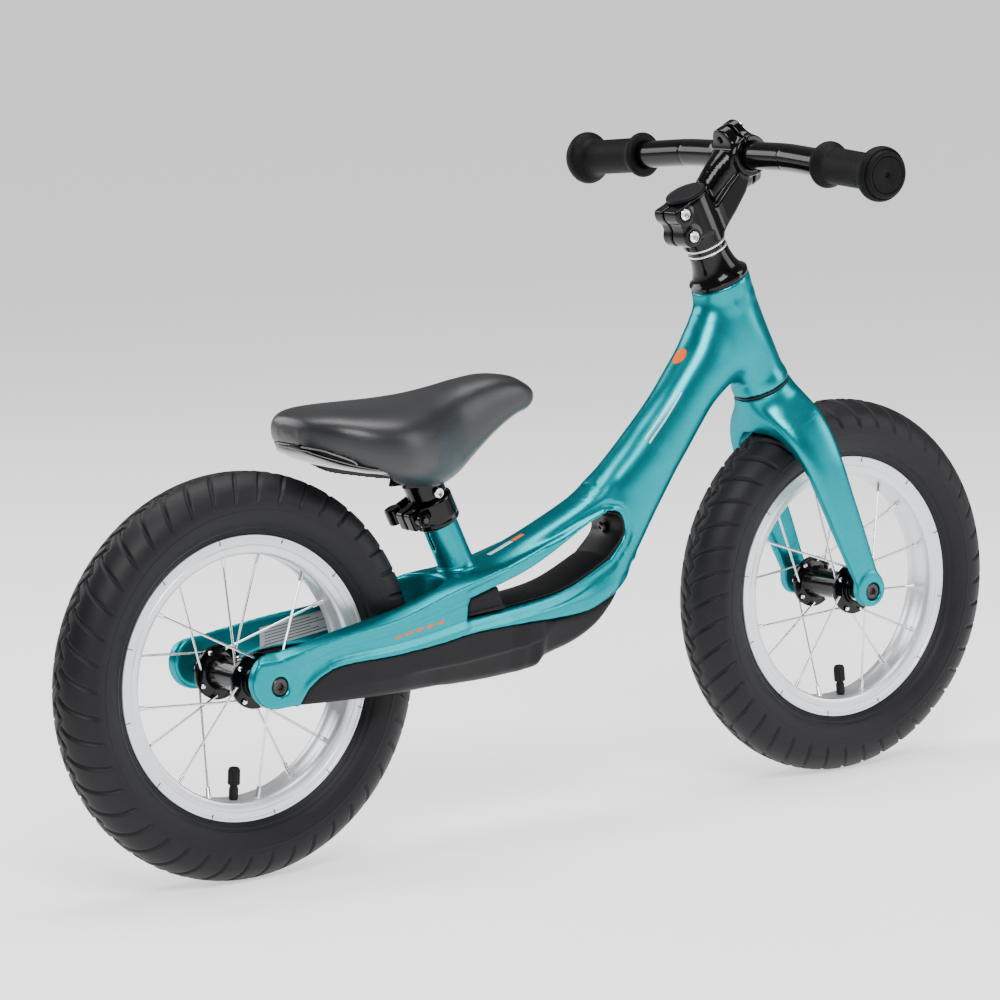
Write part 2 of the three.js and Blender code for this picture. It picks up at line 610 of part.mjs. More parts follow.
function stem() {
  const body = post(17.6, STEM_BOTTOM, STEM_TOP, 0, 18);
  const lobes = PINCH_BOLTS.map((z) => crossRod(8.5, -17, 12, PINCH_X, z, 10));
  const barSeat = crossRod(16.5, -19, 19, BAR.x, BAR.z, 16);
  const stations = [[6, 0, 338, 17, 15], [24, 0, 343, 15, 13], [42, 0, 354, 14, 14], [54, 0, 363, 14, 17]];
  const arm = limb(stations, 5, alongY, 3, 10);
  const ears = new THREE.BoxGeometry(10, 30, 50).translate(BAR.x - 5.4, 0, BAR.z);
  const ahead = new THREE.BoxGeometry(60, 80, 90).translate(BAR.x + 30 - GAP, 0, BAR.z);
  const above = new THREE.BoxGeometry(60, 60, 20).translate(-14, 0, STEM_TOP + 10);
  const split = new THREE.BoxGeometry(30, 2.2, 70).translate(-27, 0, 345);
  return cut(
    join(body, ...lobes, barSeat, arm, ears),
    above,
    post(STEERER_RADIUS + GAP, 300, 370, 0, 16),
    crossRod(BAR_RADIUS + 0.3, -40, 40, BAR.x, BAR.z, 14),
    ahead,
    split,
    ...PINCH_BOLTS.map((z) => crossRod(2.9, -30, 13, PINCH_X, z, 6)),
    ...PINCH_BOLTS.map((z) => crossRod(4.9, -30, -15.6, PINCH_X, z, 10)),
    ...CAP_BOLTS.map((z) => ringHole(BAR.x - 30, BAR.z + z)),
  );
}

// A clearance hole along the bike, ahead from x, for a bar clamp bolt.
function ringHole(x, z) {
  return new THREE.CylinderGeometry(2.8, 2.8, 70, 6).rotateZ(Math.PI / 2).translate(x + 35, 0, z);
}

function barClampCap() {
  const shell = crossRod(16.5, -19, 19, BAR.x, BAR.z, 16);
  const ears = new THREE.BoxGeometry(9, 30, 50).translate(BAR.x + 5, 0, BAR.z);
  const behind = new THREE.BoxGeometry(60, 80, 90).translate(BAR.x - 30 + GAP, 0, BAR.z);
  return cut(
    join(shell, ears),
    behind,
    crossRod(BAR_RADIUS + 0.3, -40, 40, BAR.x, BAR.z, 14),
    ...CAP_BOLTS.map((z) => ringHole(BAR.x - 30, BAR.z + z)),
  );
}

function capBolt(z) {
  return geometryOf(hexBolt(4.4, 4, 2.4, 22)).rotateZ(Math.PI / 2).translate(BAR.x + 14, 0, BAR.z + z);
}

function pinchBolt(z) {
  return geometryOf(hexBolt(4.6, 3.4, 2.4, 28)).translate(PINCH_X, -19.4, z);
}

// The bar's ends sweep back and drop, in the bike's own frame: the point at a distance out to the left.
function barPoint(y) {
  const out = Math.max(0, Math.abs(y) - BAR_BEND_AT);
  const middle = new THREE.Vector3(BAR.x, 0, BAR.z).applyMatrix4(STEER);
  return new THREE.Vector3(middle.x - out * Math.tan(BAR_SWEEP), y, middle.z - out * Math.tan(BAR_DROP));
}

function handlebar() {
  const bendFrom = BAR_BEND_AT - 8;
  const bendTo = BAR_BEND_AT + 14;
  const stops = [-BAR_HALF_WIDTH, -bendTo, -bendFrom, bendFrom, bendTo, BAR_HALF_WIDTH];
  const corners = stops.map(barPoint);
  const path = new THREE.CurvePath();
  path.add(new THREE.LineCurve3(corners[0], corners[1]));
  path.add(new THREE.QuadraticBezierCurve3(corners[1], barPoint(-BAR_BEND_AT), corners[2]));
  path.add(new THREE.LineCurve3(corners[2], corners[3]));
  path.add(new THREE.QuadraticBezierCurve3(corners[3], barPoint(BAR_BEND_AT), corners[4]));
  path.add(new THREE.LineCurve3(corners[4], corners[5]));
  const tube = (radius) => {
    const shape = new THREE.Shape().absarc(0, 0, radius, 0, 2 * Math.PI);
    const settings = { steps: 14, extrudePath: path, curveSegments: 5, bevelEnabled: false };
    return new THREE.ExtrudeGeometry(shape, settings);
  };
  return cut(tube(BAR_RADIUS), tube(BAR_RADIUS - 1.8));
}

// The grip's closed end covers the bar's end. Drawn along +Y from the inner flange outwards.
function grip(sign) {
  const length = BAR_HALF_WIDTH - GRIP_INNER_AT;
  const outline = [
    [11.5, 0], [16, 0], [18.4, 2.5], [18.4, 5], [16.2, 8], [14.4, 11], [14.4, length - 14],
    [17.5, length - 11], [21.4, length - 8], [21.4, length - 2], [18.5, length + 4], [0, length + 5],
    [0, length + 0.8], [11.5, length + 0.8],
  ];
  const inner = barPoint(sign * GRIP_INNER_AT);
  const outward = barPoint(sign * BAR_HALF_WIDTH).sub(inner).normalize();
  const turn = new THREE.Quaternion().setFromUnitVectors(new THREE.Vector3(0, 1, 0), outward);
  return turned(outline, "y", 14).applyQuaternion(turn).translate(...inner);
}

// ---- the bike -----------------------------------------------------------------------------------
const bike = new THREE.Group();
bike.add(
  piece("frame", frame(), TEAL),
  piece("footrest_cover", footrestCover(), BLACK_PLASTIC),
  piece("handle_lining", handleLining(), RUBBER),
  piece("opening_block", openingBlock(), BLACK_PLASTIC),
  ...COVER_SCREWS.map((screw, i) => piece(`cover_screw_${i + 1}`, coverScrew(screw), STEEL)),
  piece("saddle_pad", saddlePad(), VINYL),
  piece("saddle_base", seatLoft(BASE, 0, 3.2), BLACK_PAINT),
  piece("saddle_bracket", saddleBracket(), BLACK_PAINT),
  piece("handlebar", handlebar(), BLACK_PAINT),
  piece("grip_left", grip(1), RUBBER),
  piece("grip_right", grip(-1), RUBBER),
);
bike.add(placed(
  SEAT,
  piece("seat_clamp", seatClamp(), BLACK_PAINT),
  piece("clamp_skewer", skewer(), STEEL),
  piece("clamp_nut", skewerNut(), BLACK_PAINT),
  piece("clamp_lever", clampLever(), BLACK_PAINT),
  piece("seat_post", seatPost(), BLACK_PAINT),
  piece("saddle_bolt", crossRod(2.5, -19, 19, 0, SADDLE_BOLT_AT, 8), STEEL),
));
bike.add(placed(
  STEER,
  piece("fork", fork(), TEAL),
  piece("steerer_tube", ring(11, STEERER_RADIUS, 168.4, STEM_TOP - 1, "z", 14), STEEL),
  piece("crown_seal", ring(13.2, 23.3, CROWN_TOP + GAP, HEAD_BOTTOM - GAP, "z", 18), RUBBER),
  piece("headset_bearing_lower", ring(13.1, 17.4, HEAD_BOTTOM + 0.2, 196.6, "z", 14), STEEL),
  piece("headset_bearing_upper", ring(13.1, 17.4, 279.4, HEAD_TOP - 0.2, "z", 14), STEEL),
  piece("headset_cover", headsetCover(), BLACK_PAINT),
  piece("spacer_ring_lower", ring(13.1, 16.4, 313.4, 315, "z", 14), SILVER),
  piece("spacer_ring_middle", ring(13.1, 15.6, 315.4, 318, "z", 14), BLACK_PAINT),
  piece("spacer_ring_upper", ring(13.1, 16, 318.4, 320.1, "z", 14), SILVER),
  piece("stem", stem(), BLACK_PAINT),
  piece("stem_top_cap", post(16.8, STEM_TOP + GAP, STEM_TOP + 3.6, 0, 16), BLACK_PLASTIC),
  piece("stem_bolt_lower", pinchBolt(PINCH_BOLTS[0]), STEEL),
  piece("stem_bolt_upper", pinchBolt(PINCH_BOLTS[1]), STEEL),
  piece("bar_clamp_cap", barClampCap(), BLACK_PAINT),
  piece("bar_clamp_bolt_lower", capBolt(CAP_BOLTS[0]), STEEL),
  piece("bar_clamp_bolt_upper", capBolt(CAP_BOLTS[1]), STEEL),
));
for (const [name, x, inner, outer, rolledBy] of [
  ["rear", -AXLE_X, REAR_DROPOUT_INNER, REAR_DROPOUT_OUTER, rad(4.35)],
  ["front", AXLE_X, FRONT_DROPOUT_INNER, FRONT_DROPOUT_OUTER, rad(-3.85)],
]) {
  const there = new THREE.Matrix4().makeTranslation(x, 0, TYRE_RADIUS);
  bike.add(placed(there, wheel(name, rolledBy), axle(name, inner, outer)));
}

export default bike;
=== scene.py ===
"""Looks for a child's balance bike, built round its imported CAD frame. Shapes are in millimetres in the
row frame (+X forward, +Y to the rider's left, +Z up) and become metres when a mesh is made."""
import json
import math

import bmesh
import bpy
import numpy as np
import openvdb
from mathutils import Matrix, Vector
from mathutils.bvhtree import BVHTree


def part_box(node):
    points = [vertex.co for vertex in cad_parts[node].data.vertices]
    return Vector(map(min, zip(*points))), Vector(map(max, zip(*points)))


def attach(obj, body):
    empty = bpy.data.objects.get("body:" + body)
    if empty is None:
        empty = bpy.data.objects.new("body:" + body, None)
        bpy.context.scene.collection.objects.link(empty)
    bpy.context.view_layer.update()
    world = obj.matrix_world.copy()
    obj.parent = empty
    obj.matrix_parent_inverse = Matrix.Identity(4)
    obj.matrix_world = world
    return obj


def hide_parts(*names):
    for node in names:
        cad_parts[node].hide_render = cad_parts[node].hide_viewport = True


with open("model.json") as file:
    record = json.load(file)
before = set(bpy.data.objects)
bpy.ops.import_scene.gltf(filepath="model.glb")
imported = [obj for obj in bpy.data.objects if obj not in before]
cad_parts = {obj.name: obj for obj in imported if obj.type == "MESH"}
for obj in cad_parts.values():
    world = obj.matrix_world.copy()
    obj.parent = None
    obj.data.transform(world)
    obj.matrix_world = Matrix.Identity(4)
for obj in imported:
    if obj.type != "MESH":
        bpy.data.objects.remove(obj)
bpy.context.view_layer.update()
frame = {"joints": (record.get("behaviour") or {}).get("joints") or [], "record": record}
MM = 0.001
JOINTS = {j["name"]: j for j in frame["joints"]}
HOME = {node: body for body, nodes in frame["record"]["behaviour"]["bodies"].items() for node in nodes}


# ---- places taken from the frame
def middle(node):
    low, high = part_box(node)
    return (low + high) / 2 / MM


def axis_frame(origin, up):
    """A frame whose +Z is `up`, a direction in the bike's middle plane, and whose +Y is the bike's +Y."""
    up = Vector(up).normalized()
    across = Vector((0, 1, 0))
    return Matrix.Translation(origin) @ Matrix((across.cross(up), across, up)).transposed().to_4x4()


REAR = middle("rear_axle")
FRONT = middle("front_axle")
STEER = axis_frame(Vector(JOINTS["steer"]["pos_m"]) / MM, JOINTS["steer"]["axis"])
SEAT = axis_frame(Vector((-103, 0, 248.5)), JOINTS["saddle_height"]["axis"])
BAR_MIDDLE = Vector(JOINTS["handlebar_tilt"]["pos_m"]) / MM
TYRE_RADIUS = REAR.z


# ---- mesh making
def mesh_object(name, points, faces, material, body, replaces=(), matrix=None):
    """A mesh from points in mm, which rides on a body and stands for CAD nodes."""
    points, faces = moved((np.asarray(points, float).reshape(-1, 3), faces), matrix=matrix)
    mesh = bpy.data.meshes.new(name)
    mesh.from_pydata((points * MM).tolist(), [], [tuple(f) for f in faces])
    mesh.validate()
    mesh.polygons.foreach_set("use_smooth", [True] * len(mesh.polygons))
    obj = bpy.data.objects.new(name, mesh)
    bpy.context.scene.collection.objects.link(obj)
    mesh.materials.append(material)
    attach(obj, body)
    if replaces:
        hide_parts(*replaces)
    return obj


def sharpen(obj, degrees=32):
    """Keeps edges sharper than this angle crisp in the shading."""
    obj.data.set_sharp_from_angle(angle=math.radians(degrees))
    return obj


def grid_faces(rows, columns, close_rows=False):
    """Quads over rows of points, each row a closed ring."""
    r = np.arange(rows if close_rows else rows - 1)[:, None]
    c = np.arange(columns)[None, :]
    r1 = (r + 1) % rows
    c1 = (c + 1) % columns
    return np.stack(
        [r * columns + c, r * columns + c1, r1 * columns + c1, r1 * columns + c], -1
    ).reshape(-1, 4)


def turned(profile, axis="y", sides=64, hexagonal=(), swell=None):
    """A closed profile of [radius, distance along the axis] points, turned about y or z. The profile's
    rows listed as hexagonal make a six-sided socket, and swell(angle, row) scales the radius."""
    profile = np.array(profile, float)
    angle = np.linspace(0, 2 * np.pi, sides, endpoint=False)[:, None]
    r = np.repeat(profile[:, 0][None], sides, 0)
    if hexagonal:
        rows = list(hexagonal)
        r[:, rows] *= np.cos(np.pi / 6) / np.cos(np.mod(angle, np.pi / 3) - np.pi / 6)
    if swell:
        r = r * swell(angle, profile[:, 1][None])
    d = profile[:, 1][None] + 0 * angle
    order = (
        r * np.sin(angle), d, r * np.cos(angle)
    ) if axis == "y" else (r * np.cos(angle), r * np.sin(angle), d)
    points = np.stack(order, -1).reshape(-1, 3)
    return points, outward(points, grid_faces(sides, len(profile), close_rows=True))


def flipped(profile, sign=-1):
    """A profile with its distances along the axis multiplied by the sign."""
    return [[r, sign * along] for r, along in profile]


def rod(profile, start, end, sides=12):
    """A profile turned about the line from start to end, its distances measured from start."""
    points, faces = turned(profile, "z", sides)
    turn = (Vector(end) - Vector(start)).to_track_quat("Z", "Y").to_matrix()
    return points @ np.array(turn).T + np.array(start), faces


def loft(rings):
    """A skin over rings of points, closed at each end by a fan about the ring's middle."""
    rings = np.asarray(rings, float)
    rows, sides = rings.shape[:2]
    points = np.vstack([rings.reshape(-1, 3), rings[0].mean(0), rings[-1].mean(0)])
    around = np.arange(sides)
    after = (around + 1) % sides
    first = np.stack([after, around, 0 * around + rows * sides, after], 1)
    last = (rows - 1) * sides
    second = np.stack([around + last, after + last, 0 * around + rows * sides + 1, around + last], 1)
    caps = [tuple(f[:3]) for f in np.vstack([first, second])]
    walls = [tuple(f) for f in grid_faces(rows, sides)]
    return points, walls + caps


def joined(*skins):
    """Several skins as one."""
    points, faces, count = [], [], 0
    for some, these in skins:
        points.append(np.asarray(some))
        faces += [tuple(int(i) + count for i in f) for f in these]
        count += len(some)
    return np.vstack(points), faces


def moved(skin, offset=(0, 0, 0), matrix=None):
    points = np.asarray(skin[0], float)
    if matrix is not None:
        m = np.array(matrix)
        points = points @ m[:3, :3].T + m[:3, 3]
    return points + np.array(offset), skin[1]


def crisp(name, skin, material, body, replaces=(), matrix=None, degrees=32):
    """A machined or moulded piece: smooth faces, crisp corners."""
    obj = mesh_object(name, *skin, material, body, replaces, matrix)
    weld(obj)
    return sharpen(obj, degrees)


def bolt(head, head_height, shank, length, socket, depth, sides=48, chamfer=0.5):
    """A socket-head bolt along +Z, its head's outer face at 0 and its shank below."""
    return turned([
        [0, -length], [shank - 0.4, -length], [shank, 0.4 - length], [shank, -head_height],
        [head, -head_height], [head, -chamfer], [head - chamfer, 0], [socket + 0.5, 0], [socket, -0.35],
        [socket, -depth], [0, -depth - 0.4],
    ], "z", sides, hexagonal=(8, 9))


def outward(points, faces):
    """The faces turned so that the closed skin encloses a positive volume."""
    faces = np.asarray(faces)
    a, b, c = points[faces[:, 0]], points[faces[:, 1]], points[faces[:, 2]]
    volume = np.einsum("ij,ij->i", a, np.cross(b, c)).sum()
    if faces.shape[1] == 4:
        d = points[faces[:, 3]]
        volume += np.einsum("ij,ij->i", a, np.cross(c, d)).sum()
    return faces if volume > 0 else faces[:, ::-1]


def weld(obj):
    """Joins the points that a profile on its own axis leaves at one place."""
    bm = bmesh.new()
    bm.from_mesh(obj.data)
    bmesh.ops.remove_doubles(bm, verts=bm.verts, dist=1e-6)
    bmesh.ops.dissolve_degenerate(bm, edges=bm.edges, dist=1e-7)
    bm.to_mesh(obj.data)
    bm.free()


def spline(points, per=10):
    """A Catmull-Rom curve through points of any width, `per` steps to a span."""
    p = np.asarray(points, float)
    p = np.vstack([2 * p[0] - p[1], p, 2 * p[-1] - p[-2]])
    t = np.linspace(0, 1, per, endpoint=False)[:, None]
    spans = []
    for a, b, c, d in zip(p, p[1:], p[2:], p[3:]):
        spans.append(
            0.5 * (
                2 * b + (c - a) * t + (2 * a - 5 * b + 4 * c - d) * t**2 + (3 * b - a - 3 * c + d) * t**3
            )
        )
    return np.vstack([*spans, p[-2]])


# ---- distance fields
# A field is negative inside a shape and positive outside, in millimetres. It's worked out on x, y and z
# that broadcast to a grid, so what depends on two of them stays two-dimensional.
FAR = 1e3


def round_max(a, b, radius):
    """Where both shapes are, with a rounded edge of that radius."""
    a1, b1 = a + radius, b + radius
    return np.hypot(np.maximum(a1, 0), np.maximum(b1, 0)) + np.minimum(np.maximum(a1, b1), 0) - radius


def smooth_min(a, b, size):
    """Either shape, with a fillet of about that size between them."""
    h = np.clip(0.5 + 0.5 * (b - a) / size, 0, 1)
    return b + (a - b) * h - size * h * (1 - h)


def smooth_max(a, b, size):
    return -smooth_min(-a, -b, size)


def cut(shape, *tools):
    """What is left of a shape outside all the tools."""
    for tool in tools:
        shape = np.maximum(shape, -tool)
    return shape


def smooth_step(t):
    t = np.clip(t, 0, 1)
    return t * t * (3 - 2 * t)


def oval_field(u, v, half_u, half_v, power):
    """A superellipse's distance, near enough to its surface."""
    a = np.abs(u) / half_u + 1e-6
    b = np.abs(v) / half_v + 1e-6
    k = (a**power + b**power) ** (1 / power)
    slope = k ** (1 - power) * np.hypot(a ** (power - 1) / half_u, b ** (power - 1) / half_v)
    return (k - 1) / np.maximum(slope, 1e-3)


def outline_field(outline, x, z):
    """Signed distance to a closed outline of [x, z] points."""
    nearest = np.full(np.broadcast(x, z).shape, FAR**3)
    inside = np.zeros(nearest.shape, bool)
    outline = np.asarray(outline, float)
    for (x0, z0), (x1, z1) in zip(outline, np.roll(outline, -1, axis=0)):
        dx, dz = x1 - x0, z1 - z0
        t = np.clip(((x - x0) * dx + (z - z0) * dz) / (dx * dx + dz * dz + 1e-12), 0, 1)
        nearest = np.minimum(nearest, (x - x0 - t * dx) ** 2 + (z - z0 - t * dz) ** 2)
        if dz:
            crosses = ((z0 > z) != (z1 > z)) & (x < dx * (z - z0) / dz + x0)
            inside ^= crosses
    distance = np.sqrt(nearest)
    return np.where(inside, -distance, distance)


def beside(stations, u, v):
    """How a point (u, v) lies to the curve through stations [u, v, half size, half size]: how far off it
    and how far past its ends, with the two half sizes at the nearest place."""
    path = spline(stations)
    ahead = np.gradient(path[:, :2], axis=0)
    ahead /= np.linalg.norm(ahead, axis=1)[:, None]
    best = np.full(np.broadcast(u, v).shape, FAR**3)
    off, past, first, second = (np.zeros(best.shape) for _ in range(4))
    last = len(path) - 1
    for i, ((pu, pv, one, two), (au, av)) in enumerate(zip(path, ahead)):
        du, dv = u - pu, v - pv
        distance = du**2 + dv**2
        nearer = distance < best
        best = np.where(nearer, distance, best)
        off = np.where(nearer, dv * au - du * av, off)
        first = np.where(nearer, one, first)
        second = np.where(nearer, two, second)
        along = du * au + dv * av
        past = np.where(nearer, along if i == last else -along if i == 0 else -FAR, past)
    return off, past, first, second


def limb_field(stations, u, v, across, power):
    """A limb with superellipse sections along a curve in a plane, `across` measured from that plane."""
    off, past, half_off, half_across = beside(stations, u, v)
    return np.maximum(oval_field(off, across, half_off, half_across, power), past)


def field_mesh(
    name, field, low, high, step, material, body, replaces=(), matrix=None, mirror=True, smooth=3
):
    """The skin of a field on a box, in mm. With mirror, only its y >= 0 half is worked out."""
    axes = [np.arange(a, b + step, step) for a, b in zip(low, high)]
    if mirror:
        axes[1] = np.arange(0, high[1] + step, step)
    x, y, z = axes
    values = field(x[:, None, None], y[None, :, None], z[None, None, :])
    values = np.clip(values, -3 * step, 3 * step).astype(np.float32)
    start = np.array([x[0], y[0], z[0]])
    if mirror:
        values = np.concatenate([values[:, :0:-1], values], axis=1)
        start[1] = -y[-1]
    vdb = openvdb.FloatGrid(3 * step)
    vdb.copyFromArray(np.ascontiguousarray(values))
    points, quads = vdb.convertToQuads(isovalue=0)
    points = points * step + start
    points = relax(points, quads, smooth)
    return mesh_object(name, points, outward(points, quads), material, body, replaces, matrix)


def relax(points, quads, rounds):
    """Evens out a skin without shrinking it."""
    edges = np.unique(np.sort(np.vstack([quads[:, [i, (i + 1) % 4]] for i in range(4)]), axis=1), axis=0)
    a = np.concatenate([edges[:, 0], edges[:, 1]])
    b = np.concatenate([edges[:, 1], edges[:, 0]])
    count = np.maximum(np.bincount(a, minlength=len(points)), 1)[:, None]
    for weight in (0.5, -0.52) * rounds:
        mean = np.stack([np.bincount(a, points[b, k], len(points)) for k in range(3)], 1) / count
        points = points + weight * (mean - points)
    return points


def local(x, z, matrix):
    """How far ahead of and how far up an axis frame's own axis the points [x, z] are."""
    ahead, up, origin = matrix.col[0], matrix.col[2], matrix.col[3]
    dx, dz = x - origin[0], z - origin[2]
    return dx * ahead[0] + dz * ahead[2], dx * up[0] + dz * up[2]


# ---- materials
GLOSS_SPREAD = 0.06


def put(node, **values):
    """Sets a node's inputs by name, with _ for a space."""
    for name, value in values.items():
        node.inputs[name.replace("_", " ")].default_value = value


def surface(
    name, colour, roughness, metallic=0.0, coat=0.0, vary=0.08, patch=60, grain=0.0, grain_scale=2500,
    specular=0.5,
):
    """A finish: colour that varies over patches of about 1/patch m, uneven gloss, and fine grain."""
    m = bpy.data.materials.new(name)
    m.use_nodes = True
    nodes, links = m.node_tree.nodes, m.node_tree.links
    shader = nodes["Principled BSDF"]
    put(shader, Metallic=metallic, Specular_IOR_Level=specular, Coat_Weight=coat, Coat_Roughness=0.06)
    place = nodes.new("ShaderNodeTexCoord")
    blotch = nodes.new("ShaderNodeTexNoise")
    put(blotch, Scale=patch, Detail=4)
    links.new(place.outputs["Object"], blotch.inputs["Vector"])
    ramp = nodes.new("ShaderNodeValToRGB")
    for stop, position, share in zip(ramp.color_ramp.elements, (0.3, 0.7), (1 - vary, 1 + vary)):
        stop.position = position
        stop.color = (*[min(1, c * share) for c in colour], 1)
    links.new(blotch.outputs["Fac"], ramp.inputs["Fac"])
    links.new(ramp.outputs["Color"], shader.inputs["Base Color"])
    gloss = nodes.new("ShaderNodeMapRange")
    put(gloss, To_Min=max(0.02, roughness - GLOSS_SPREAD), To_Max=min(1, roughness + GLOSS_SPREAD))
    links.new(blotch.outputs["Fac"], gloss.inputs["Value"])
    links.new(gloss.outputs["Result"], shader.inputs["Roughness"])
    if grain:
        fine = nodes.new("ShaderNodeTexNoise")
        put(fine, Scale=grain_scale, Detail=3)
        links.new(place.outputs["Object"], fine.inputs["Vector"])
        bump = nodes.new("ShaderNodeBump")
        put(bump, Strength=grain, Distance=0.0004)
        links.new(fine.outputs["Fac"], bump.inputs["Height"])
        links.new(bump.outputs["Normal"], shader.inputs["Normal"])
    return m


def flaked(m, scale=5200, depth=0.35):
    """Adds the sparkle of a metallic paint to a finish: tiny cells, each a little lighter or darker."""
    nodes, links = m.node_tree.nodes, m.node_tree.links
    shader = nodes["Principled BSDF"]
    source = shader.inputs["Base Color"].links[0].from_socket
    cells = nodes.new("ShaderNodeTexVoronoi")
    put(cells, Scale=scale)
    links.new(nodes["Texture Coordinate"].outputs["Object"], cells.inputs["Vector"])
    mix = nodes.new("ShaderNodeMix")
    mix.data_type = "RGBA"
    mix.blend_type = "SOFT_LIGHT"
    put(mix, Factor=depth)
    links.new(source, mix.inputs["A"])
    links.new(cells.outputs["Color"], mix.inputs["B"])
    links.new(mix.outputs["Result"], shader.inputs["Base Color"])


TEAL = surface(
    "teal_paint", (0.0, 0.245, 0.285), 0.3, metallic=0.85, coat=0.06, vary=0.04, grain=0.03, specular=0.2
)
flaked(TEAL)
put(TEAL.node_tree.nodes["Principled BSDF"], Specular_Tint=(0.0, 0.5, 0.56, 1))
PLASTIC = surface(
    "moulded_plastic", (0.006, 0.0056, 0.007), 0.5, vary=0.12, grain=0.35, grain_scale=1800, specular=0.15
)
LINING = surface(
    "soft_lining", (0.0035, 0.0033, 0.0038), 0.4, vary=0.12, grain=0.25, grain_scale=1500, specular=0.18
)
GLOSS = surface(
    "gloss_black_paint", (0.0015, 0.0015, 0.002), 0.14, coat=0.2, vary=0.15, grain=0.04, specular=0.15
)
SHELL = surface(
    "gloss_black_shell", (0.0015, 0.0015, 0.0015), 0.16, coat=0.03, vary=0.15, grain=0.03, specular=0.07
)
TYRE = surface(
    "tyre_rubber", (0.0055, 0.0055, 0.0068), 0.5, vary=0.2, patch=45, grain=0.3, grain_scale=2200,
    specular=0.22,
)
GRIP = surface(
    "grip_rubber", (0.0025, 0.0025, 0.003), 0.55, vary=0.15, grain=0.5, grain_scale=1400, specular=0.1
)
VINYL = surface(
    "saddle_vinyl", (0.012, 0.0125, 0.015), 0.38, vary=0.10, patch=30, grain=0.4, grain_scale=900,
    specular=0.45,
)
RIM = surface(
    "anodised_silver", (0.68, 0.70, 0.73), 0.34, metallic=0.7, vary=0.04, grain=0.12, grain_scale=1200
)
STEEL = surface("bright_steel", (0.75, 0.76, 0.78), 0.2, metallic=1.0, vary=0.05, grain=0.05)
# Black oxide steel for the axle bolts and the lining screw; on the skewer rod its darkness is also painted
# shade.
DARK_STEEL = surface("black_oxide_and_painted_shade", (0.05, 0.042, 0.04), 0.3, metallic=0.7, vary=0.2, grain=0.08)
DARK_MARK = surface("black_mark", (0.01, 0.01, 0.01), 0.6, vary=0.1)
SEAL_RUBBER = surface("seal_rubber", (0.004, 0.004, 0.005), 0.5, vary=0.1, specular=0.3)
# Grey for the saddle's piping cord, and also for the shell's fine line, where the grey is a painted
# highlight.
PIPING_AND_HIGHLIGHT = surface("grey_piping_and_painted_highlight", (0.12, 0.12, 0.125), 0.4, vary=0.05)


# ---- frame
# The spar from the head tube over the handle opening to the yoke: [x, z, half height, half width].
SPAR = [
    [186, 376, 34, 19], [172, 362, 31, 21], [160, 348, 27, 22], [143.5, 331, 24.3, 21.2],
    [130.5, 315, 24.3, 20.7], [116, 298, 25.5, 20.6], [98.5, 279.5, 26.5, 20.6], [79.5, 255, 27.5, 20.6],
    [66, 238, 29, 20.2],
]
# The bar over the handle opening, which leaves the spar and runs back to the yoke.
BAR_OVER = [
    [100, 283, 21, 20.6], [87, 275, 20, 20.6], [76.5, 268, 19.5, 20.5], [60, 256.5, 17.5, 20.2],
    [43.5, 247.5, 14, 19.6], [22, 240, 9.6, 19], [-18, 224, 8.8, 18.5], [-60, 208.5, 8.8, 20],
    [-86, 202, 9.5, 23], [-112, 196, 9, 27],
]
# Half the frame's width along the bike, across the beam below the opening, the yoke and the stays.
WIDTHS = [
    [-292, 60.3], [-272, 59.4], [-240, 56], [-200, 52], [-160, 46], [-130, 42], [-106, 38], [-90, 36],
    [-60, 32.5], [-26, 30], [-1, 28], [19, 26.5], [36, 25.5], [50, 24.5], [60, 22.4], [72, 20.4],
    [84, 19.8], [97, 19.6], [124, 19.4],
]
# Where the frame meets the footrest cover, from the front, and the stay's top from the yoke back.
SEAM = [
    [74, 199], [66, 187], [54, 179], [36, 173], [16, 168], [-18, 166.5], [-91, 166.5], [-133, 163],
    [-174, 161], [-227, 161], [-247, 157], [-262, 149], [-274, 136],
]
STAY_TOP = [
    [-90, 209.5], [-110, 208.5], [-130, 205.5], [-160, 198.5], [-200, 191], [-240, 186.5], [-272, 182],
    [-292, 179],
]
CHIN = [[136, 286], [124, 270], [112.5, 253], [100.5, 236], [90, 220], [81, 206.5], [74, 197.5]]
RIDGE = [
    [-290, 172], [-269, 176], [-229, 182], [-185, 186], [-159, 190.5], [-131, 197.5], [-100, 204],
    [-77, 209], [-51, 216.5], [-20, 225], [40, 243],
]
DROPOUT = [-292, 158]
DROPOUT_RADIUS = 21
DROPOUT_INNER = 50
YOKE = [-138, 31]  # the centre and radius of the round arch ahead of the rear wheel
HEAD_LOW, HEAD_HIGH = 190.2, 286.5  # the head tube's ends, along the steering axis
# The head tube's and seat tube's [distance along, radius], each along its own axis.
HEAD_RADII = [[190, 23.7], [194, 23.7], [201, 22.8], [240, 22.6], [274, 23.2], [282, 24.1], [287, 24.1]]
SEAT_RADII = [[-70, 16], [-50, 15.5], [-40, 14.2], [-30, 13.85], [20, 13.85]]
HEAD_BORE = 17.6
SEAT_BORE = 11.5
SEAT_BORE_DEPTH = 52
AXLE_BOLT_HOLE = 3.5
AXLE_BOLT_RECESS = 7.4
MOST_HALF_WIDTH = 60.3
LIMB_POWER = 2.5  # how square the spar's section is, where 2 is an ellipse
BLUR_CELLS = 9
BLUR_MARGIN = 12
CROWN_TOP = 187.4
FORK_BORE = 12.9


def width_at(x):
    table = np.array(WIDTHS)
    return np.interp(x, table[:, 0], table[:, 1])


def opening_outline():
    over = spline([[-100, 192.5], [-38, 208], [18, 233.5], [44, 243.5]])
    nose = spline([[44, 243.5], [55, 241], [60, 231], [58, 220], [43, 205]])[1:-1]
    under = spline([[43, 205], [4, 188.3], [-37, 181.3], [-103, 176.5]])
    return np.vstack([over, nose, under])


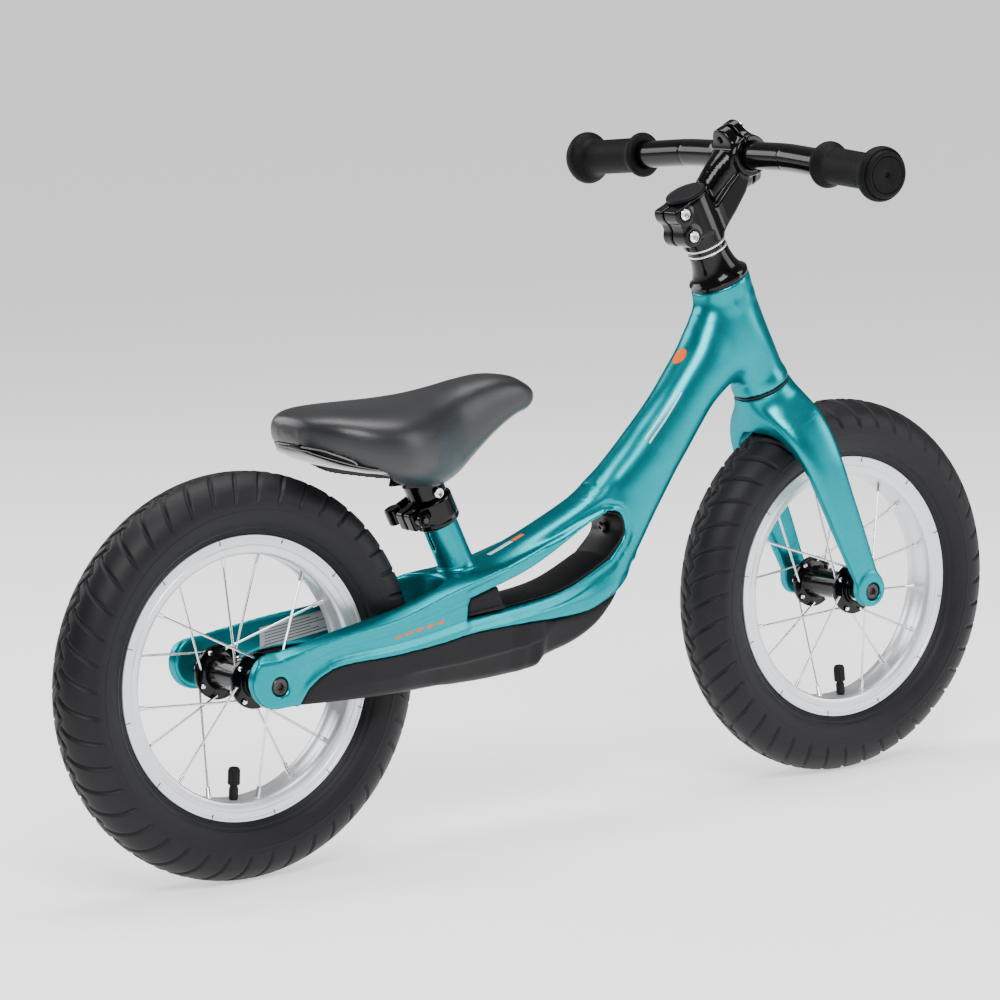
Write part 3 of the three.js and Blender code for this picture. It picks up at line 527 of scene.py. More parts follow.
def wheel_well(x, y):
    """Distance out of the space that the rear wheel turns in, negative inside it."""
    inner = np.interp(x, [-330, -268, -200, YOKE[0]], [DROPOUT_INNER, DROPOUT_INNER, 39, YOKE[1]])
    behind = (np.abs(y) - inner) * 0.97
    ahead = np.hypot(x - YOKE[0], y) - YOKE[1]
    return np.where(x < YOKE[0], behind, ahead)


def tube_field(along, out, table, low, high, edge):
    """A turned tube: its radius is interpolated in a table of [distance along, radius]."""
    table = np.array(table)
    radius = np.interp(along, table[:, 0], table[:, 1])
    return round_max(out - radius, np.abs(along - (low + high) / 2) - (high - low) / 2, edge)


def evened(shape, x, out, up_steer, above_seam):
    """The field ahead of the handle opening, with the joins round the spar and head tube flowed together by
    three passes of a box blur along each axis. The margin behind mirrors the field, the others repeat it."""
    first = int(np.argmax(x[:, 0, 0] > 30))
    part = shape[first:]
    margin = BLUR_MARGIN
    soft = np.pad(part, margin, mode="edge")
    soft[:, :margin] = soft[:, 2 * margin : margin : -1]
    for axis in (0, 1, 2) * 3:
        total = np.cumsum(soft, axis=axis)
        ahead = np.take(total, np.arange(BLUR_CELLS, total.shape[axis]), axis)
        behind = np.take(total, np.arange(total.shape[axis] - BLUR_CELLS), axis)
        edge = [(0, 0)] * 3
        edge[axis] = (BLUR_CELLS // 2 + 1, BLUR_CELLS // 2)
        soft = np.pad((ahead - behind) / BLUR_CELLS, edge, mode="edge")
    soft = soft[margin:-margin, margin:-margin, margin:-margin]
    near_head = smooth_step((40 - out) / 8)
    clear = smooth_step((up_steer - 196) / 10) * smooth_step((270 - up_steer) / 10)
    above = smooth_step((above_seam - 2) / 8)
    amount = (smooth_step((x - 44) / 14) * above * (1 - near_head * (1 - clear)))[first:]
    return np.concatenate([shape[:first], part + (soft - part) * amount])


def frame_field(x, y, z):
    outline = np.vstack([
        spline(CHIN), spline(SEAM)[1:], [[-276, 137.5], [-292, 137]], spline(STAY_TOP)[::-1],
        [[-60, 213], [0, 230.5], [60, 254], [100, 284], [115, 299]],
    ])
    dropout = np.hypot(x - DROPOUT[0], z - DROPOUT[1]) - DROPOUT_RADIUS
    side = np.minimum(outline_field(outline, x, z), dropout)
    hole = outline_field(opening_outline(), x, z)
    ridge = spline(RIDGE)
    ridge_z = np.interp(x, ridge[:, 0], ridge[:, 1])
    seam = spline(SEAM)[::-1]
    seam_z = np.interp(x, seam[:, 0], seam[:, 1])
    half = width_at(x)
    above = np.maximum(z - ridge_z, 0)
    half = half - np.minimum(1.4 * above, 16) * smooth_step((80 - x) / 60)
    # a shallow channel runs back along the stay between two ridges
    up = (z - seam_z) / np.maximum(ridge_z - seam_z, 6)
    channel = smooth_step((up - 0.12) / 0.2) * smooth_step((0.95 - up) / 0.16)
    crease = smooth_step((up - 0.60) / 0.05) * smooth_step((0.95 - up) / 0.2)
    fade = smooth_step((60 - x) / 40) * smooth_step((x + 282) / 40)
    half = half - (2.1 * channel - 1.2 * crease) * fade
    near_hole = smooth_step((9 - hole) / 2.2) * smooth_step((x + 108) / 10) * smooth_step((56 - x) / 16)
    half = half - 1.3 * near_hole
    half = np.minimum(half, MOST_HALF_WIDTH)
    rounding = np.interp(x, [-292, -250, -130, -60, 40, 72], [1.2, 3.5, 5, 5, 6, 14])
    near_seam = smooth_step((up - 0.05) / 0.4)
    near_seam = near_seam + (1 - near_seam) * smooth_step((x - 18) / 34)
    rounding = 1.0 + (rounding - 1.0) * near_seam
    ay = np.abs(y)
    body = round_max(side, ay - half, rounding)
    spar = smooth_min(limb_field(SPAR, x, z, y, LIMB_POWER), limb_field(BAR_OVER, x, z, y, LIMB_POWER), 4)
    ahead, up_steer = local(x, z, STEER)
    out = np.hypot(ahead, y)
    head = tube_field(up_steer, out, HEAD_RADII, HEAD_LOW, HEAD_HIGH, 0.8)
    ahead_seat, up_seat = local(x, z, SEAT)
    out_seat = np.hypot(ahead_seat, y)
    seat = tube_field(up_seat, out_seat, SEAT_RADII, -70, 18, 0.8)
    blend = 5 - 2 * smooth_step((x - 40) / 30)
    shape = smooth_min(body, spar + near_hole, blend)
    shape = smooth_max(shape, -wheel_well(x, y), 4)
    shape = smooth_min(shape, head, 13)
    shape = evened(shape, x, out, up_steer, z - seam_z)
    shape = smooth_min(shape, np.maximum(seat, 196 - z), 5)
    below_head = np.maximum(out - 26, up_steer - HEAD_LOW)
    shape = cut(shape, HEAD_HIGH - up_steer, below_head)
    rim = smooth_step((7.5 - hole) / 1.6) * smooth_step((x - 38) / 16)
    shape = round_max(shape + 1.2 * rim, -hole, 1.6)
    head_bore = np.maximum(out - HEAD_BORE, -up_steer)
    seat_bore = np.maximum(out_seat - SEAT_BORE, -SEAT_BORE_DEPTH - up_seat)
    slot = np.maximum(np.maximum(ay - 1.5, ahead_seat + 6), -17 - up_seat)
    from_bolt = np.hypot(x - REAR.x, z - REAR.z)
    recess = np.maximum(from_bolt - AXLE_BOLT_RECESS, 56.1 - ay)
    return cut(shape, head_bore, seat_bore, slot, recess, from_bolt - AXLE_BOLT_HOLE)


field_mesh("frame_casting", frame_field, (-316, -62, 130), (246, 62, 428), 1.25, TEAL, "frame", ["frame"])


# ---- footrest cover, opening and its lining
COVER_UNDER = [
    [-276, 137.4], [-240, 134.5], [-200, 132], [-160, 130], [-130, 128.3], [-90, 126.4], [-58, 126.6],
    [-38, 128], [-29, 130.5], [-23, 135], [-10, 138], [8, 141.5], [24, 147], [38, 155], [50, 166.5],
    [59, 178], [66, 188.5], [73, 198.5],
]
RIB = [
    [-300, 147], [-161, 146], [-110, 145.6], [-73, 147.4], [-45, 149.5], [-30, 153], [-20, 160], [80, 230]
]


def cover_field(x, y, z):
    outline = np.vstack([spline(COVER_UNDER), spline(SEAM)])
    side = np.maximum(outline_field(outline, x, z), -outline_field(seam_gap(), x, z))
    rib = np.interp(x, *np.array(RIB).T)
    lower = smooth_step((rib - z) / 2.5) * smooth_step((x + 175) / 40) * smooth_step((-26 - x) / 14)
    front = smooth_step((x + 30) / 12)
    half = width_at(x) - 0.6 - 3.2 * lower - 2.0 * front + 1.4 * smooth_step((x + 60) / 20) * (1 - front)
    tuck = np.interp(x, [-276, -200, -100, -40, 0, 60], [0.05, 0.18, 0.30, 0.30, 0.22, 0.12])
    half = half - tuck * np.maximum(rib - 2 - z, 0)
    rounding = np.interp(x, [-276, -240, -150, 0, 60, 75], [1.5, 3, 6, 7, 8, 4])
    near_seam = smooth_step((z - rib) / 12)
    rounding = rounding * (1 - near_seam) + (1.0 + 12 * smooth_step((x - 18) / 34)) * near_seam
    ay = np.abs(y)
    shape = round_max(side, ay - half, rounding)
    hollow = np.maximum(side + 3, ay - half + 3)
    open_top = np.maximum(hollow, -(z - 140))
    shape = cut(shape, np.maximum(open_top, np.abs(x + 22) - 66))
    return smooth_max(shape, -wheel_well(x, y), 2.5)


def seam_gap():
    """A hair of space along the seam, so that the cover and the casting don't touch."""
    line = spline(SEAM)
    return np.vstack([line + [0, 0.4], line[::-1] - [0, 0.4]])


field_mesh(
    "footrest_cover_moulding", cover_field, (-282, -62, 120), (80, 62, 204), 1.1, PLASTIC, "frame",
    ["footrest_cover"],
)


def lining_field(x, y, z):
    """Rubber round the opening, thicker in its middle, and narrower under the spar."""
    hole = outline_field(opening_outline(), x, z)
    upper = smooth_step((z - np.interp(x, [-100, -64, 10, 52], [184, 189, 207, 238])) / 6)
    half = np.interp(x, [-100, -60, 20, 60], [24.5, 23.5, 22, 21]) * (1 - upper) + 16.5 * upper
    ay = np.abs(y)
    crown = 1 - (ay / half) ** 2
    inner = -hole - (2.2 + 2.6 * np.maximum(crown, 0))
    band = np.maximum(hole + 0.3, inner)
    shape = round_max(band, ay - half, 0.9)
    return cut(shape, x + 67 + (z - 180) * 0.17)


field_mesh(
    "opening_lining", lining_field, (-72, -27, 172), (64, 27, 250), 0.8, LINING, "frame", ["handle_lining"],
    smooth=2,
)


def block_field(x, y, z):
    """The block in the opening's rear end, with a ledge along its lower edge."""
    face = outline_field([[-100.2, 178.6], [-97.6, 191.6], [-70.6, 198.4], [-65, 181]], x, z)
    ledge = outline_field([[-101, 176], [-100.4, 181.6], [-65.2, 184.2], [-64, 179]], x, z)
    ay = np.abs(y)
    inner = round_max(face, ay - 30.5, 1.6)
    lower = round_max(np.maximum(face, ledge), ay - 32, 1.0)
    return np.minimum(inner, lower)


field_mesh(
    "opening_block_moulding", block_field, (-104, -34, 174), (-60, 34, 203), 0.7, PLASTIC, "frame",
    ["opening_block"], smooth=2,
)


# ---- fork
# Down one leg in the steering frame: [out from the middle, height, half thickness, half depth].
LEG = [
    [0, 171, 12, 22.3], [14, 168, 12, 22.3], [25, 160, 10.8, 21.6], [34.6, 147.5, 9.2, 20.2],
    [40.8, 132, 7.8, 18.6], [43.8, 112, 7.2, 17.1], [45, 85, 6.6, 15.4], [45.7, 50, 5.4, 13.7],
    [46.1, 22, 4.4, 12], [46.2, 4, 4.1, 11.4],
]
FORK_DROPOUT = 14
AXLE_AHEAD, AXLE_UP = (float(v) for v in local(FRONT.x, FRONT.z, STEER))


def fork_field(x, y, z):
    """Drawn in the steering frame: x ahead of the steerer, z up along it."""
    centre = np.interp(z, [0, 22, 85, 118, 160], [-6.5, -5.2, -3.5, -2, 0])
    off, _, thick, deep = beside(LEG, y, z)
    legs = oval_field(off, x - centre, thick, deep, 3.4)
    legs = np.maximum(legs, AXLE_UP - z)
    boss = np.hypot(x - AXLE_AHEAD + 0.4, z - AXLE_UP - 2) - FORK_DROPOUT
    boss = round_max(boss, np.abs(y - 46.2) - 4.1, 1.2)
    crown_radii = [[150, 24], [176, 23.4], [182, 23.9], [188, 24.0]]
    crown = tube_field(z, np.hypot(x, y), crown_radii, 150, CROWN_TOP, 0.8)
    shape = smooth_min(smooth_min(legs, boss, 3), crown, 11)
    arch = np.hypot(y, z - 118) - 39.5
    under = np.maximum(arch, np.abs(x) - 60)
    shape = smooth_max(shape, -under, 3)
    gap = np.maximum(np.abs(y) - 41.6, z - 118)
    shape = smooth_max(shape, -gap, 1.5)
    shape = np.maximum(shape, z - CROWN_TOP)
    bore = np.maximum(np.hypot(x, y) - FORK_BORE, 168 - z)
    from_bolt = np.hypot(x - AXLE_AHEAD, z - AXLE_UP)
    recess = np.maximum(from_bolt - AXLE_BOLT_RECESS, 46.1 - y)
    return cut(shape, bore, recess, from_bolt - AXLE_BOLT_HOLE)


field_mesh(
    "fork_casting", fork_field, (-26, -52, -12), (26, 52, 190), 0.9, TEAL, "steering", ["fork"],
    matrix=STEER,
)


# ---- wheels
SPOKES = 16
RIM_EDGE = 107
RIM_BED = 92.5
FLANGE_AT = 25
NIPPLE_AT = 96.4
VALVE_CAP_TOP = 68
SPOKE_CIRCLE = 18  # the radius at which spokes pass the flanges
SPOKE_OFF_FLANGE = 3.0
NIPPLE_OFF_CENTRE = 4
TYRE_STEPS = 1100  # round the tyre
TYRE_MIDDLE = 128  # the radius of its section's middle
TREAD_PITCHES = 44
TREAD_HALF = 37  # measured over the crown, from the centre line to the shoulder
GROOVE_DEPTH = 1.6
GROOVE_HALF = 1.25
# The tyre's outside, from one bead over the crown: [radius, half width].
TYRE_SIDE = [
    [106.6, 12.9], [109.6, 15.8], [118, 22.2], [131, 24.75], [140.5, 22.3], [147.6, 16.4], [152.2, 8.4],
    [153.5, 0],
]
TYRE_INSIDE = [
    [104, -9.4], [110, -12], [122, -20], [136, -19.5], [148, -8], [149.3, 0], [148, 8], [136, 19.5],
    [122, 20], [110, 12], [104, 9.4], [103.6, 11.5],
]
SIDE_LINES = (110.8, 114.5, 126.5)  # radii of the thin moulded lines on a tyre's side


def half_section():
    """One half of the tyre's outside, closely spaced where its detail is: [radius, half width, arc from the
    crown, how far a moulded line stands out]."""
    fine = spline(TYRE_SIDE, 60)
    arc = np.concatenate([[0], np.cumsum(np.linalg.norm(np.diff(fine, axis=0), axis=1))])
    from_crown = arc[-1] - arc
    tread = np.linspace(TREAD_HALF + 2, 0, 46)
    lines = np.array([np.interp(r, fine[:, 0], from_crown) for r in SIDE_LINES])
    wall = np.linspace(arc[-1], TREAD_HALF + 3, 10)
    stops = np.unique(np.concatenate([tread, wall, lines, lines - 0.5, lines + 0.5]))[::-1]
    r = np.interp(-stops, -from_crown, fine[:, 0])
    y = np.interp(-stops, -from_crown, fine[:, 1])
    raised = np.where(np.min(np.abs(stops[:, None] - lines[None]), axis=1) < 0.1, 0.35, 0)
    return np.stack([r, y, stops, raised], 1)


def tread_depth(pitch, across, lean):
    """How deep the tread is cut where `across` is the arc from the centre line and pitch counts round."""
    zigzag = 4 * (4 * np.abs(np.mod(pitch, 1) - 0.5) - 1)
    side = np.sign(across)
    out = np.clip(np.abs(across), 0, TREAD_HALF)
    bend = np.sqrt(out / TREAD_HALF)
    line = np.mod(pitch - lean * 1.1 * bend - np.where(side > 0, 0, 0.5) + 0.5, 1) - 0.5
    step = 2 * np.pi * TYRE_RADIUS / TREAD_PITCHES
    slope = 1.1 * step / (2 * TREAD_HALF * np.maximum(bend, 0.25))
    distance = np.abs(line) * step / np.hypot(1, slope)
    sweep = smooth_step((GROOVE_HALF * 1.5 - distance) / GROOVE_HALF)
    sweep = sweep * smooth_step((TREAD_HALF - np.abs(across)) / 3)
    reach = smooth_step((np.abs(across) - 1) / 2)
    centre = smooth_step((GROOVE_HALF * 1.4 - 0.75 * np.abs(across - zigzag)) / GROOVE_HALF)
    return GROOVE_DEPTH * np.maximum(sweep * reach, centre)


def tyre(wheel, centre, lean):
    half = half_section()
    other = half[-2::-1] * [1, -1, -1, 1]
    outside = np.vstack([half, other])
    inside = np.array(TYRE_INSIDE)
    angle = np.linspace(0, 2 * np.pi, TYRE_STEPS, endpoint=False)[:, None]
    depth = tread_depth(angle / (2 * np.pi) * TREAD_PITCHES, outside[:, 2][None], lean)
    normal = np.gradient(outside[:, :2], axis=0)
    normal = np.stack([normal[:, 1], -normal[:, 0]], 1) / np.linalg.norm(normal, axis=1)[:, None]
    normal *= np.sign(normal[:, :1] * (outside[:, :1] - TYRE_MIDDLE) + normal[:, 1:] * outside[:, 1:2])
    r = outside[:, 0] + normal[:, 0] * (outside[:, 3] - depth)
    y = outside[:, 1] + normal[:, 1] * (outside[:, 3] - depth)
    r = np.hstack([r, np.repeat(inside[:, 0][None], TYRE_STEPS, 0)])
    y = np.hstack([y, np.repeat(inside[:, 1][None], TYRE_STEPS, 0)])
    points = np.stack([r * np.sin(angle), y, r * np.cos(angle)], -1).reshape(-1, 3) + centre
    faces = outward(points, grid_faces(TYRE_STEPS, r.shape[1], close_rows=True))
    mesh_object(wheel + "_tyre_carcass", points, faces, TYRE, wheel + "_wheel", [wheel + "_tyre"])


def rim_profile():
    half = [
        [RIM_EDGE, 13.2], [RIM_EDGE + 0.4, 14.2], [RIM_EDGE, 15], [105.2, 15], [104.8, 14.6],
        [100.2, 14.6], [99.8, 14.3], [99.4, 14.6], [95, 14.6], [93.6, 13.8], [RIM_BED, 11.5],
        [RIM_BED, 6], [RIM_BED + 0.4, 5],
    ]
    channel = [[95.4, -9], [98, -12.6], [RIM_EDGE - 2, -13]]
    return half + flipped(half)[::-1] + channel[::-1] + flipped(channel)


def at_angle(radius, angle, y):
    return Vector((radius * math.sin(angle), y, radius * math.cos(angle)))


def spoke_ends(roll):
    """Each spoke's hub end, rim end and the side of its flange. Spokes go to the flanges in turn, and
    neighbours on a flange lean opposite ways, one on its outer face and one on its inner."""
    step = 2 * math.pi / SPOKES
    for i in range(SPOKES):
        side = -1 if i % 2 else 1
        leading = i % 4 < 2
        rim_angle = (i + 0.5) * step + roll
        hub_angle = rim_angle + (2 if leading else -2) * step
        face = SPOKE_OFF_FLANGE if leading else -SPOKE_OFF_FLANGE
        hub_end = at_angle(SPOKE_CIRCLE, hub_angle, side * (FLANGE_AT + face))
        yield hub_end, at_angle(NIPPLE_AT, rim_angle, side * NIPPLE_OFF_CENTRE), side * face


def spoke_set(wheel, centre, roll):
    """Bright spokes, each with a domed head at its flange and a nipple at the rim, and the rim strip."""
    skins = []
    for near, far, face in spoke_ends(roll):
        along = far - near
        length = along.length
        skins.append(rod([[0, 0], [0.95, 0.3], [0.95, length - 11], [0, length - 11]], near, far))
        nipple = [
            [0, length - 12], [1.3, length - 12], [1.7, length - 11.4], [1.9, length - 4.6],
            [2.2, length - 4], [2.2, length - 0.6], [1.6, length], [0, length],
        ]
        skins.append(rod(nipple, near, far))
        through = near - Vector((0, 2 * face, 0))
        reach = 2 * abs(face)
        head = [[2.0, reach], [1.9, reach + 0.6], [1.1, reach + 1.2], [0, reach + 1.3]]
        skins.append(rod([[0, -0.9], [0.95, -0.6], [0.95, reach], *head], near, through))
    strip = turned([[97.4, -8.5], [98.7, -8.5], [98.7, 8.5], [97.4, 8.5]], "y", 96)
    skin = moved(joined(*skins, strip), centre)
    crisp(wheel + "_spoke_set", skin, STEEL, wheel + "_wheel", [wheel + "_spokes"])


def hub_profile():
    half = [
        [5.8, 22], [9.6, 22], [9.6, 30.6], [10.4, 31], [12.2, 31], [12.6, 30.6], [12.9, 27], [13.6, 26.6],
        [20.4, 26.6], [21, 26], [21, 24.1], [20.4, 23.5], [15.5, 23.4], [13.4, 22.2], [12.4, 19.5],
        [11.6, 14], [11.4, 6],
    ]
    return half + flipped(half)[::-1]


def rim_marks(wheel, centre, roll):
    """Short dark moulding marks over the rim's edge, all the way round on both sides."""
    skins = []
    for side in (-1, 1):
        for k in range(12):
            angle = roll + (k + 0.5) * math.pi / 6
            along = [at_angle(r, angle, side * 15.0) for r in (103.2, 107.2)]
            skins.append(rod([[0, 0], [0.35, 0], [0.35, 4], [0, 4]], *along, sides=6))
    crisp(wheel + "_rim_marks", moved(joined(*skins), centre), DARK_MARK, wheel + "_wheel")


def valve(wheel, centre, roll):
    turn = Matrix.Rotation(roll, 4, "Y")
    turns = np.linspace(0, 2 * math.pi, 24, endpoint=False)
    inner = [[126 + 20.5 * math.cos(a), 16 * math.sin(a)] for a in turns]
    stem = [[0, -109], [3.2, -109], [3.2, -92], [3.6, -91.5], [3.6, -84], [3.0, -83.4]]
    for k in range(4):
        stem += [[3.2, -83 + 1.2 * k], [2.9, -82.4 + 1.2 * k]]
    stem += [[2.6, -77], [2.6, -72], [0, -72]]
    skin = joined(turned(inner, "y", 64), moved(turned(stem, "z", 32), matrix=turn))
    crisp(wheel + "_tube_and_valve", moved(skin, centre), TYRE, wheel + "_wheel", [wheel + "_inner_tube"])
    top = -VALVE_CAP_TOP
    knurl = lambda angle, row: 1 + 0.05 * np.cos(12 * angle) * (row < top - 2.4)
    cap = [
        [0, top], [2.2, top], [3.6, top - 0.5], [4.2, top - 1.6], [4.4, top - 2.5], [4.5, top - 12.6],
        [4.2, top - 13.5], [3.7, top - 13.5], [3.7, top - 3], [0, top - 3],
    ]
    skin = moved(turned(cap, "z", 96, swell=knurl), matrix=turn)
    skin = moved(skin, centre)
    crisp(wheel + "_valve_cap_moulding", skin, PLASTIC, wheel + "_wheel", [wheel + "_valve_cap"])


def wheel_bearings(wheel, centre):
    for side, sign in (("left", 1), ("right", -1)):
        race = [
            [5.4, 22.4], [9.5, 22.4], [9.5, 30.6], [8.9, 30.6], [8.9, 30.2], [6.3, 30.2], [6.3, 30.6],
            [5.4, 30.6],
        ]
        skin = moved(turned(flipped(race, sign), "y", 48), centre)
        crisp(f"{wheel}_bearing_race_{side}", skin, STEEL, wheel + "_wheel", [f"{wheel}_bearing_{side}"])


def axle_set(wheel, centre, inner, outer, body):
    """The fixed axle, its stepped spacers, and a bolt sunk in each dropout."""
    axle = [
        [3.4, 0.5 - inner], [4.6, 0.5 - inner], [5, 1 - inner], [5, inner - 1], [4.6, inner - 0.5],
        [3.4, inner - 0.5],
    ]
    crisp(wheel + "_axle_tube", moved(turned(axle, "y", 48), centre), STEEL, body, [wheel + "_axle"])
    end = inner - 0.5
    for side, sign in (("left", 1), ("right", -1)):
        spacer = [
            [5.4, 31.3], [8.2, 31.3], [8.6, 31.7], [8.6, 34.2], [8.2, 34.8], [7.2, 35.2], [7, 36.6],
            [7, end - 0.4], [6.6, end], [5.4, end],
        ]
        skin = moved(turned(flipped(spacer, sign), "y", 48), centre)
        crisp(f"{wheel}_spacer_turning_{side}", skin, GLOSS, body, [f"{wheel}_spacer_{side}"])
        turn = Matrix.Rotation(-sign * math.pi / 2, 4, "X")
        head = moved(bolt(6.6, 3.1, 3, 24, 3.4, 2.6, chamfer=0.8), matrix=turn)
        skin = moved(head, Vector(centre) + Vector((0, sign * (outer - 0.8), 0)))
        crisp(f"{wheel}_axle_bolt_turning_{side}", skin, DARK_STEEL, body, [f"{wheel}_axle_bolt_{side}"])


for wheel, centre, roll, lean, inner, outer, body in (
    ("rear", REAR, math.radians(4.35), -1, 50, 60.3, "frame"),
    ("front", FRONT, math.radians(-3.85), 1, 42, 50.3, "steering"),
):
    tyre(wheel, np.array(centre), lean)
    rim = moved(turned(rim_profile(), "y", 180), centre)
    crisp(wheel + "_rim_extrusion", rim, RIM, wheel + "_wheel", [wheel + "_rim"])
    rim_marks(wheel, centre, roll)
    spoke_set(wheel, centre, roll)
    hub = moved(turned(hub_profile(), "y", 96), centre)
    crisp(wheel + "_hub_shell", hub, GLOSS, wheel + "_wheel", [wheel + "_hub"])
    valve(wheel, centre, roll)
    wheel_bearings(wheel, centre)
    axle_set(wheel, centre, inner, outer, body)


# ---- headset and steerer: pieces drawn in the steering frame
def turned_ring(name, profile, material, node, sides=96, degrees=32):
    crisp(name, turned(profile, "z", sides), material, HOME[node], [node], STEER, degrees)


def plain_ring(inner, outer, low, high, edge=0.3):
    return [
        [inner, low], [outer - edge, low], [outer, low + edge], [outer, high - edge],
        [outer - edge, high], [inner, high],
    ]


HEADSET_BELL = [
    [13.2, 313], [16.1, 313], [16.3, 312.7], [16.35, 309.5], [16.8, 305.5], [18, 300], [19.9, 295.3],
    [22.3, 292], [24, 290.9], [24.5, 290.3], [24.5, 288.2], [24.1, 287.6], [24.0, 287], [19.5, 287],
    [19.5, 290], [13.2, 302],
]
turned_ring("steerer", plain_ring(11, 12.7, 168.4, 361.6), STEEL, "steerer_tube")
turned_ring(
    "crown_seal_ring",
    [[13.2, 187.9], [23, 187.9], [23.4, 188.3], [23.4, 189.3], [23, 189.7], [13.2, 189.7]], SEAL_RUBBER,
    "crown_seal",
)
turned_ring("headset_race_lower", plain_ring(13.1, 17.4, 190.5, 196.6, 0.5), STEEL, "headset_bearing_lower")
turned_ring("headset_race_upper", plain_ring(13.1, 17.4, 279.4, 286.2, 0.5), STEEL, "headset_bearing_upper")
turned_ring("headset_bell", HEADSET_BELL, GLOSS, "headset_cover")
turned_ring("spacer_silver_lower", plain_ring(13.1, 16.5, 313.4, 315), RIM, "spacer_ring_lower")
turned_ring("spacer_black", plain_ring(13.1, 15.6, 315.4, 318), GLOSS, "spacer_ring_middle")
turned_ring("spacer_silver_upper", plain_ring(13.1, 16.3, 318.4, 320.1), RIM, "spacer_ring_upper")


# ---- stem
STEM_LOW = 320.6
STEM_HIGH = 362.6
STEM_RADIUS = 17.6
PINCH_AHEAD = -19.5
PINCH_BOLTS = (337, 357)
BAR_AHEAD, BAR_UP = (float(v) for v in local(BAR_MIDDLE.x, BAR_MIDDLE.z, STEER))
BAR_TUBE = 11.1
CLAMP_RADIUS = 16.5
CLAMP_HALF = 19
CLAMP_BOLTS = (-18.5, 18.5)
CLAMP_BOLT_HOLE = 2.8
PINCH_LOBE = 8.5
# The arm has a thick lower web and a narrower round upper part between it and the bar clamp.
WEB = [
    [6, 322], [14, 324.5], [30, 333], [45, 342.5], [53, 351], [50, 362], [30, 354], [14, 346.5], [4, 344]
]
ARM = [[4, 350, 9, 9], [18, 355, 11.5, 9.6], [34, 361, 13.5, 11], [50, 367, 14, 14]]


def box_field(x, y, z, centre, half, rounding):
    qx, qy, qz = (np.abs(v - c) - h + rounding for v, c, h in zip((x, y, z), centre, half))
    outside = np.sqrt(np.maximum(qx, 0) ** 2 + np.maximum(qy, 0) ** 2 + np.maximum(qz, 0) ** 2)
    return outside + np.minimum(np.maximum(np.maximum(qx, qy), qz), 0) - rounding


def cross_rod_field(x, y, z, ahead, up, radius, low, high, edge):
    ends = np.abs(y - (low + high) / 2) - (high - low) / 2
    return round_max(np.hypot(x - ahead, z - up) - radius, ends, edge)


def bar_room(x, z):
    """The bar's bore through the clamp, in the steering frame."""
    return np.hypot(x - BAR_AHEAD, z - BAR_UP) - (BAR_TUBE + 0.3)


def stem_field(x, y, z):
    out = np.hypot(x, y)
    ends = np.abs(z - (STEM_LOW + STEM_HIGH) / 2) - (STEM_HIGH - STEM_LOW) / 2
    shape = round_max(out - STEM_RADIUS, ends, 1)
    lobes = [cross_rod_field(x, y, z, PINCH_AHEAD, up, PINCH_LOBE, -17, 12, 1.5) for up in PINCH_BOLTS]
    lobes = np.maximum(smooth_min(*lobes, 2), z - STEM_HIGH)
    web = round_max(outline_field(WEB, x, z), np.abs(y) - np.interp(x, [0, 20, 50], [14.5, 14, 16]), 2)
    arm = limb_field(ARM, x, z, y, 2.2)
    seat = cross_rod_field(x, y, z, BAR_AHEAD, BAR_UP, CLAMP_RADIUS, -CLAMP_HALF, CLAMP_HALF, 2)
    ears = round_max(oval_field(y, z - BAR_UP, 13.5, 27.5, 2.3), np.abs(x - BAR_AHEAD + 5.6) - 5, 2)
    cheek = box_field(x, y, z, (-12, -2.5, 346.5), (13.2, 14.5, 16), 3)
    lobes = smooth_min(lobes, np.maximum(cheek, z - STEM_HIGH), 2)
    shape = smooth_min(shape, lobes, 3)
    shape = smooth_min(shape, smooth_min(web, np.maximum(arm, 12 - x), 2.5), 3)
    shape = smooth_min(shape, smooth_min(seat, ears, 4), 3)
    shape = cut(shape, np.maximum(out - 13.1, -z))
    shape = np.maximum(shape, np.minimum(z - STEM_HIGH, 15.5 - x))
    shape = np.maximum(shape, x - BAR_AHEAD + 0.4)
    shape = cut(shape, bar_room(x, z), np.maximum(np.abs(y) - 1.1, x + 12))
    for up in PINCH_BOLTS:
        reach = np.hypot(x - PINCH_AHEAD, z - up)
        shape = cut(shape, np.minimum(np.maximum(reach - 5, y + 15.6), np.maximum(reach - 2.9, y - 13)))
    for up in CLAMP_BOLTS:
        shape = cut(shape, np.maximum(np.hypot(y, z - BAR_UP - up) - CLAMP_BOLT_HOLE, 35 - x))
    return shape


def cap_field(x, y, z):
    """The front half of the bar clamp, waisted between its two ears."""
    shell = cross_rod_field(x, y, z, BAR_AHEAD, BAR_UP, CLAMP_RADIUS, -CLAMP_HALF, CLAMP_HALF, 2)
    ears = round_max(oval_field(y, z - BAR_UP, 13.5, 28, 2.3), np.abs(x - BAR_AHEAD - 4.2) - 4.6, 2)
    shape = smooth_min(shell, ears, 7)
    shape = cut(shape, x - (BAR_AHEAD + 0.4), bar_room(x, z))
    for up in CLAMP_BOLTS:
        shape = cut(shape, np.hypot(y, z - BAR_UP - up) - CLAMP_BOLT_HOLE)
    return shape


field_mesh(
    "stem_casting", stem_field, (-32, -22, 316), (64, 22, 396), 0.7, GLOSS, "steering", ["stem"], STEER,
    mirror=False, smooth=2,
)
field_mesh(
    "bar_clamp_cover", cap_field, (56, -22, 338), (82, 22, 396), 0.7, GLOSS, "steering", ["bar_clamp_cap"],
    STEER, smooth=2,
)


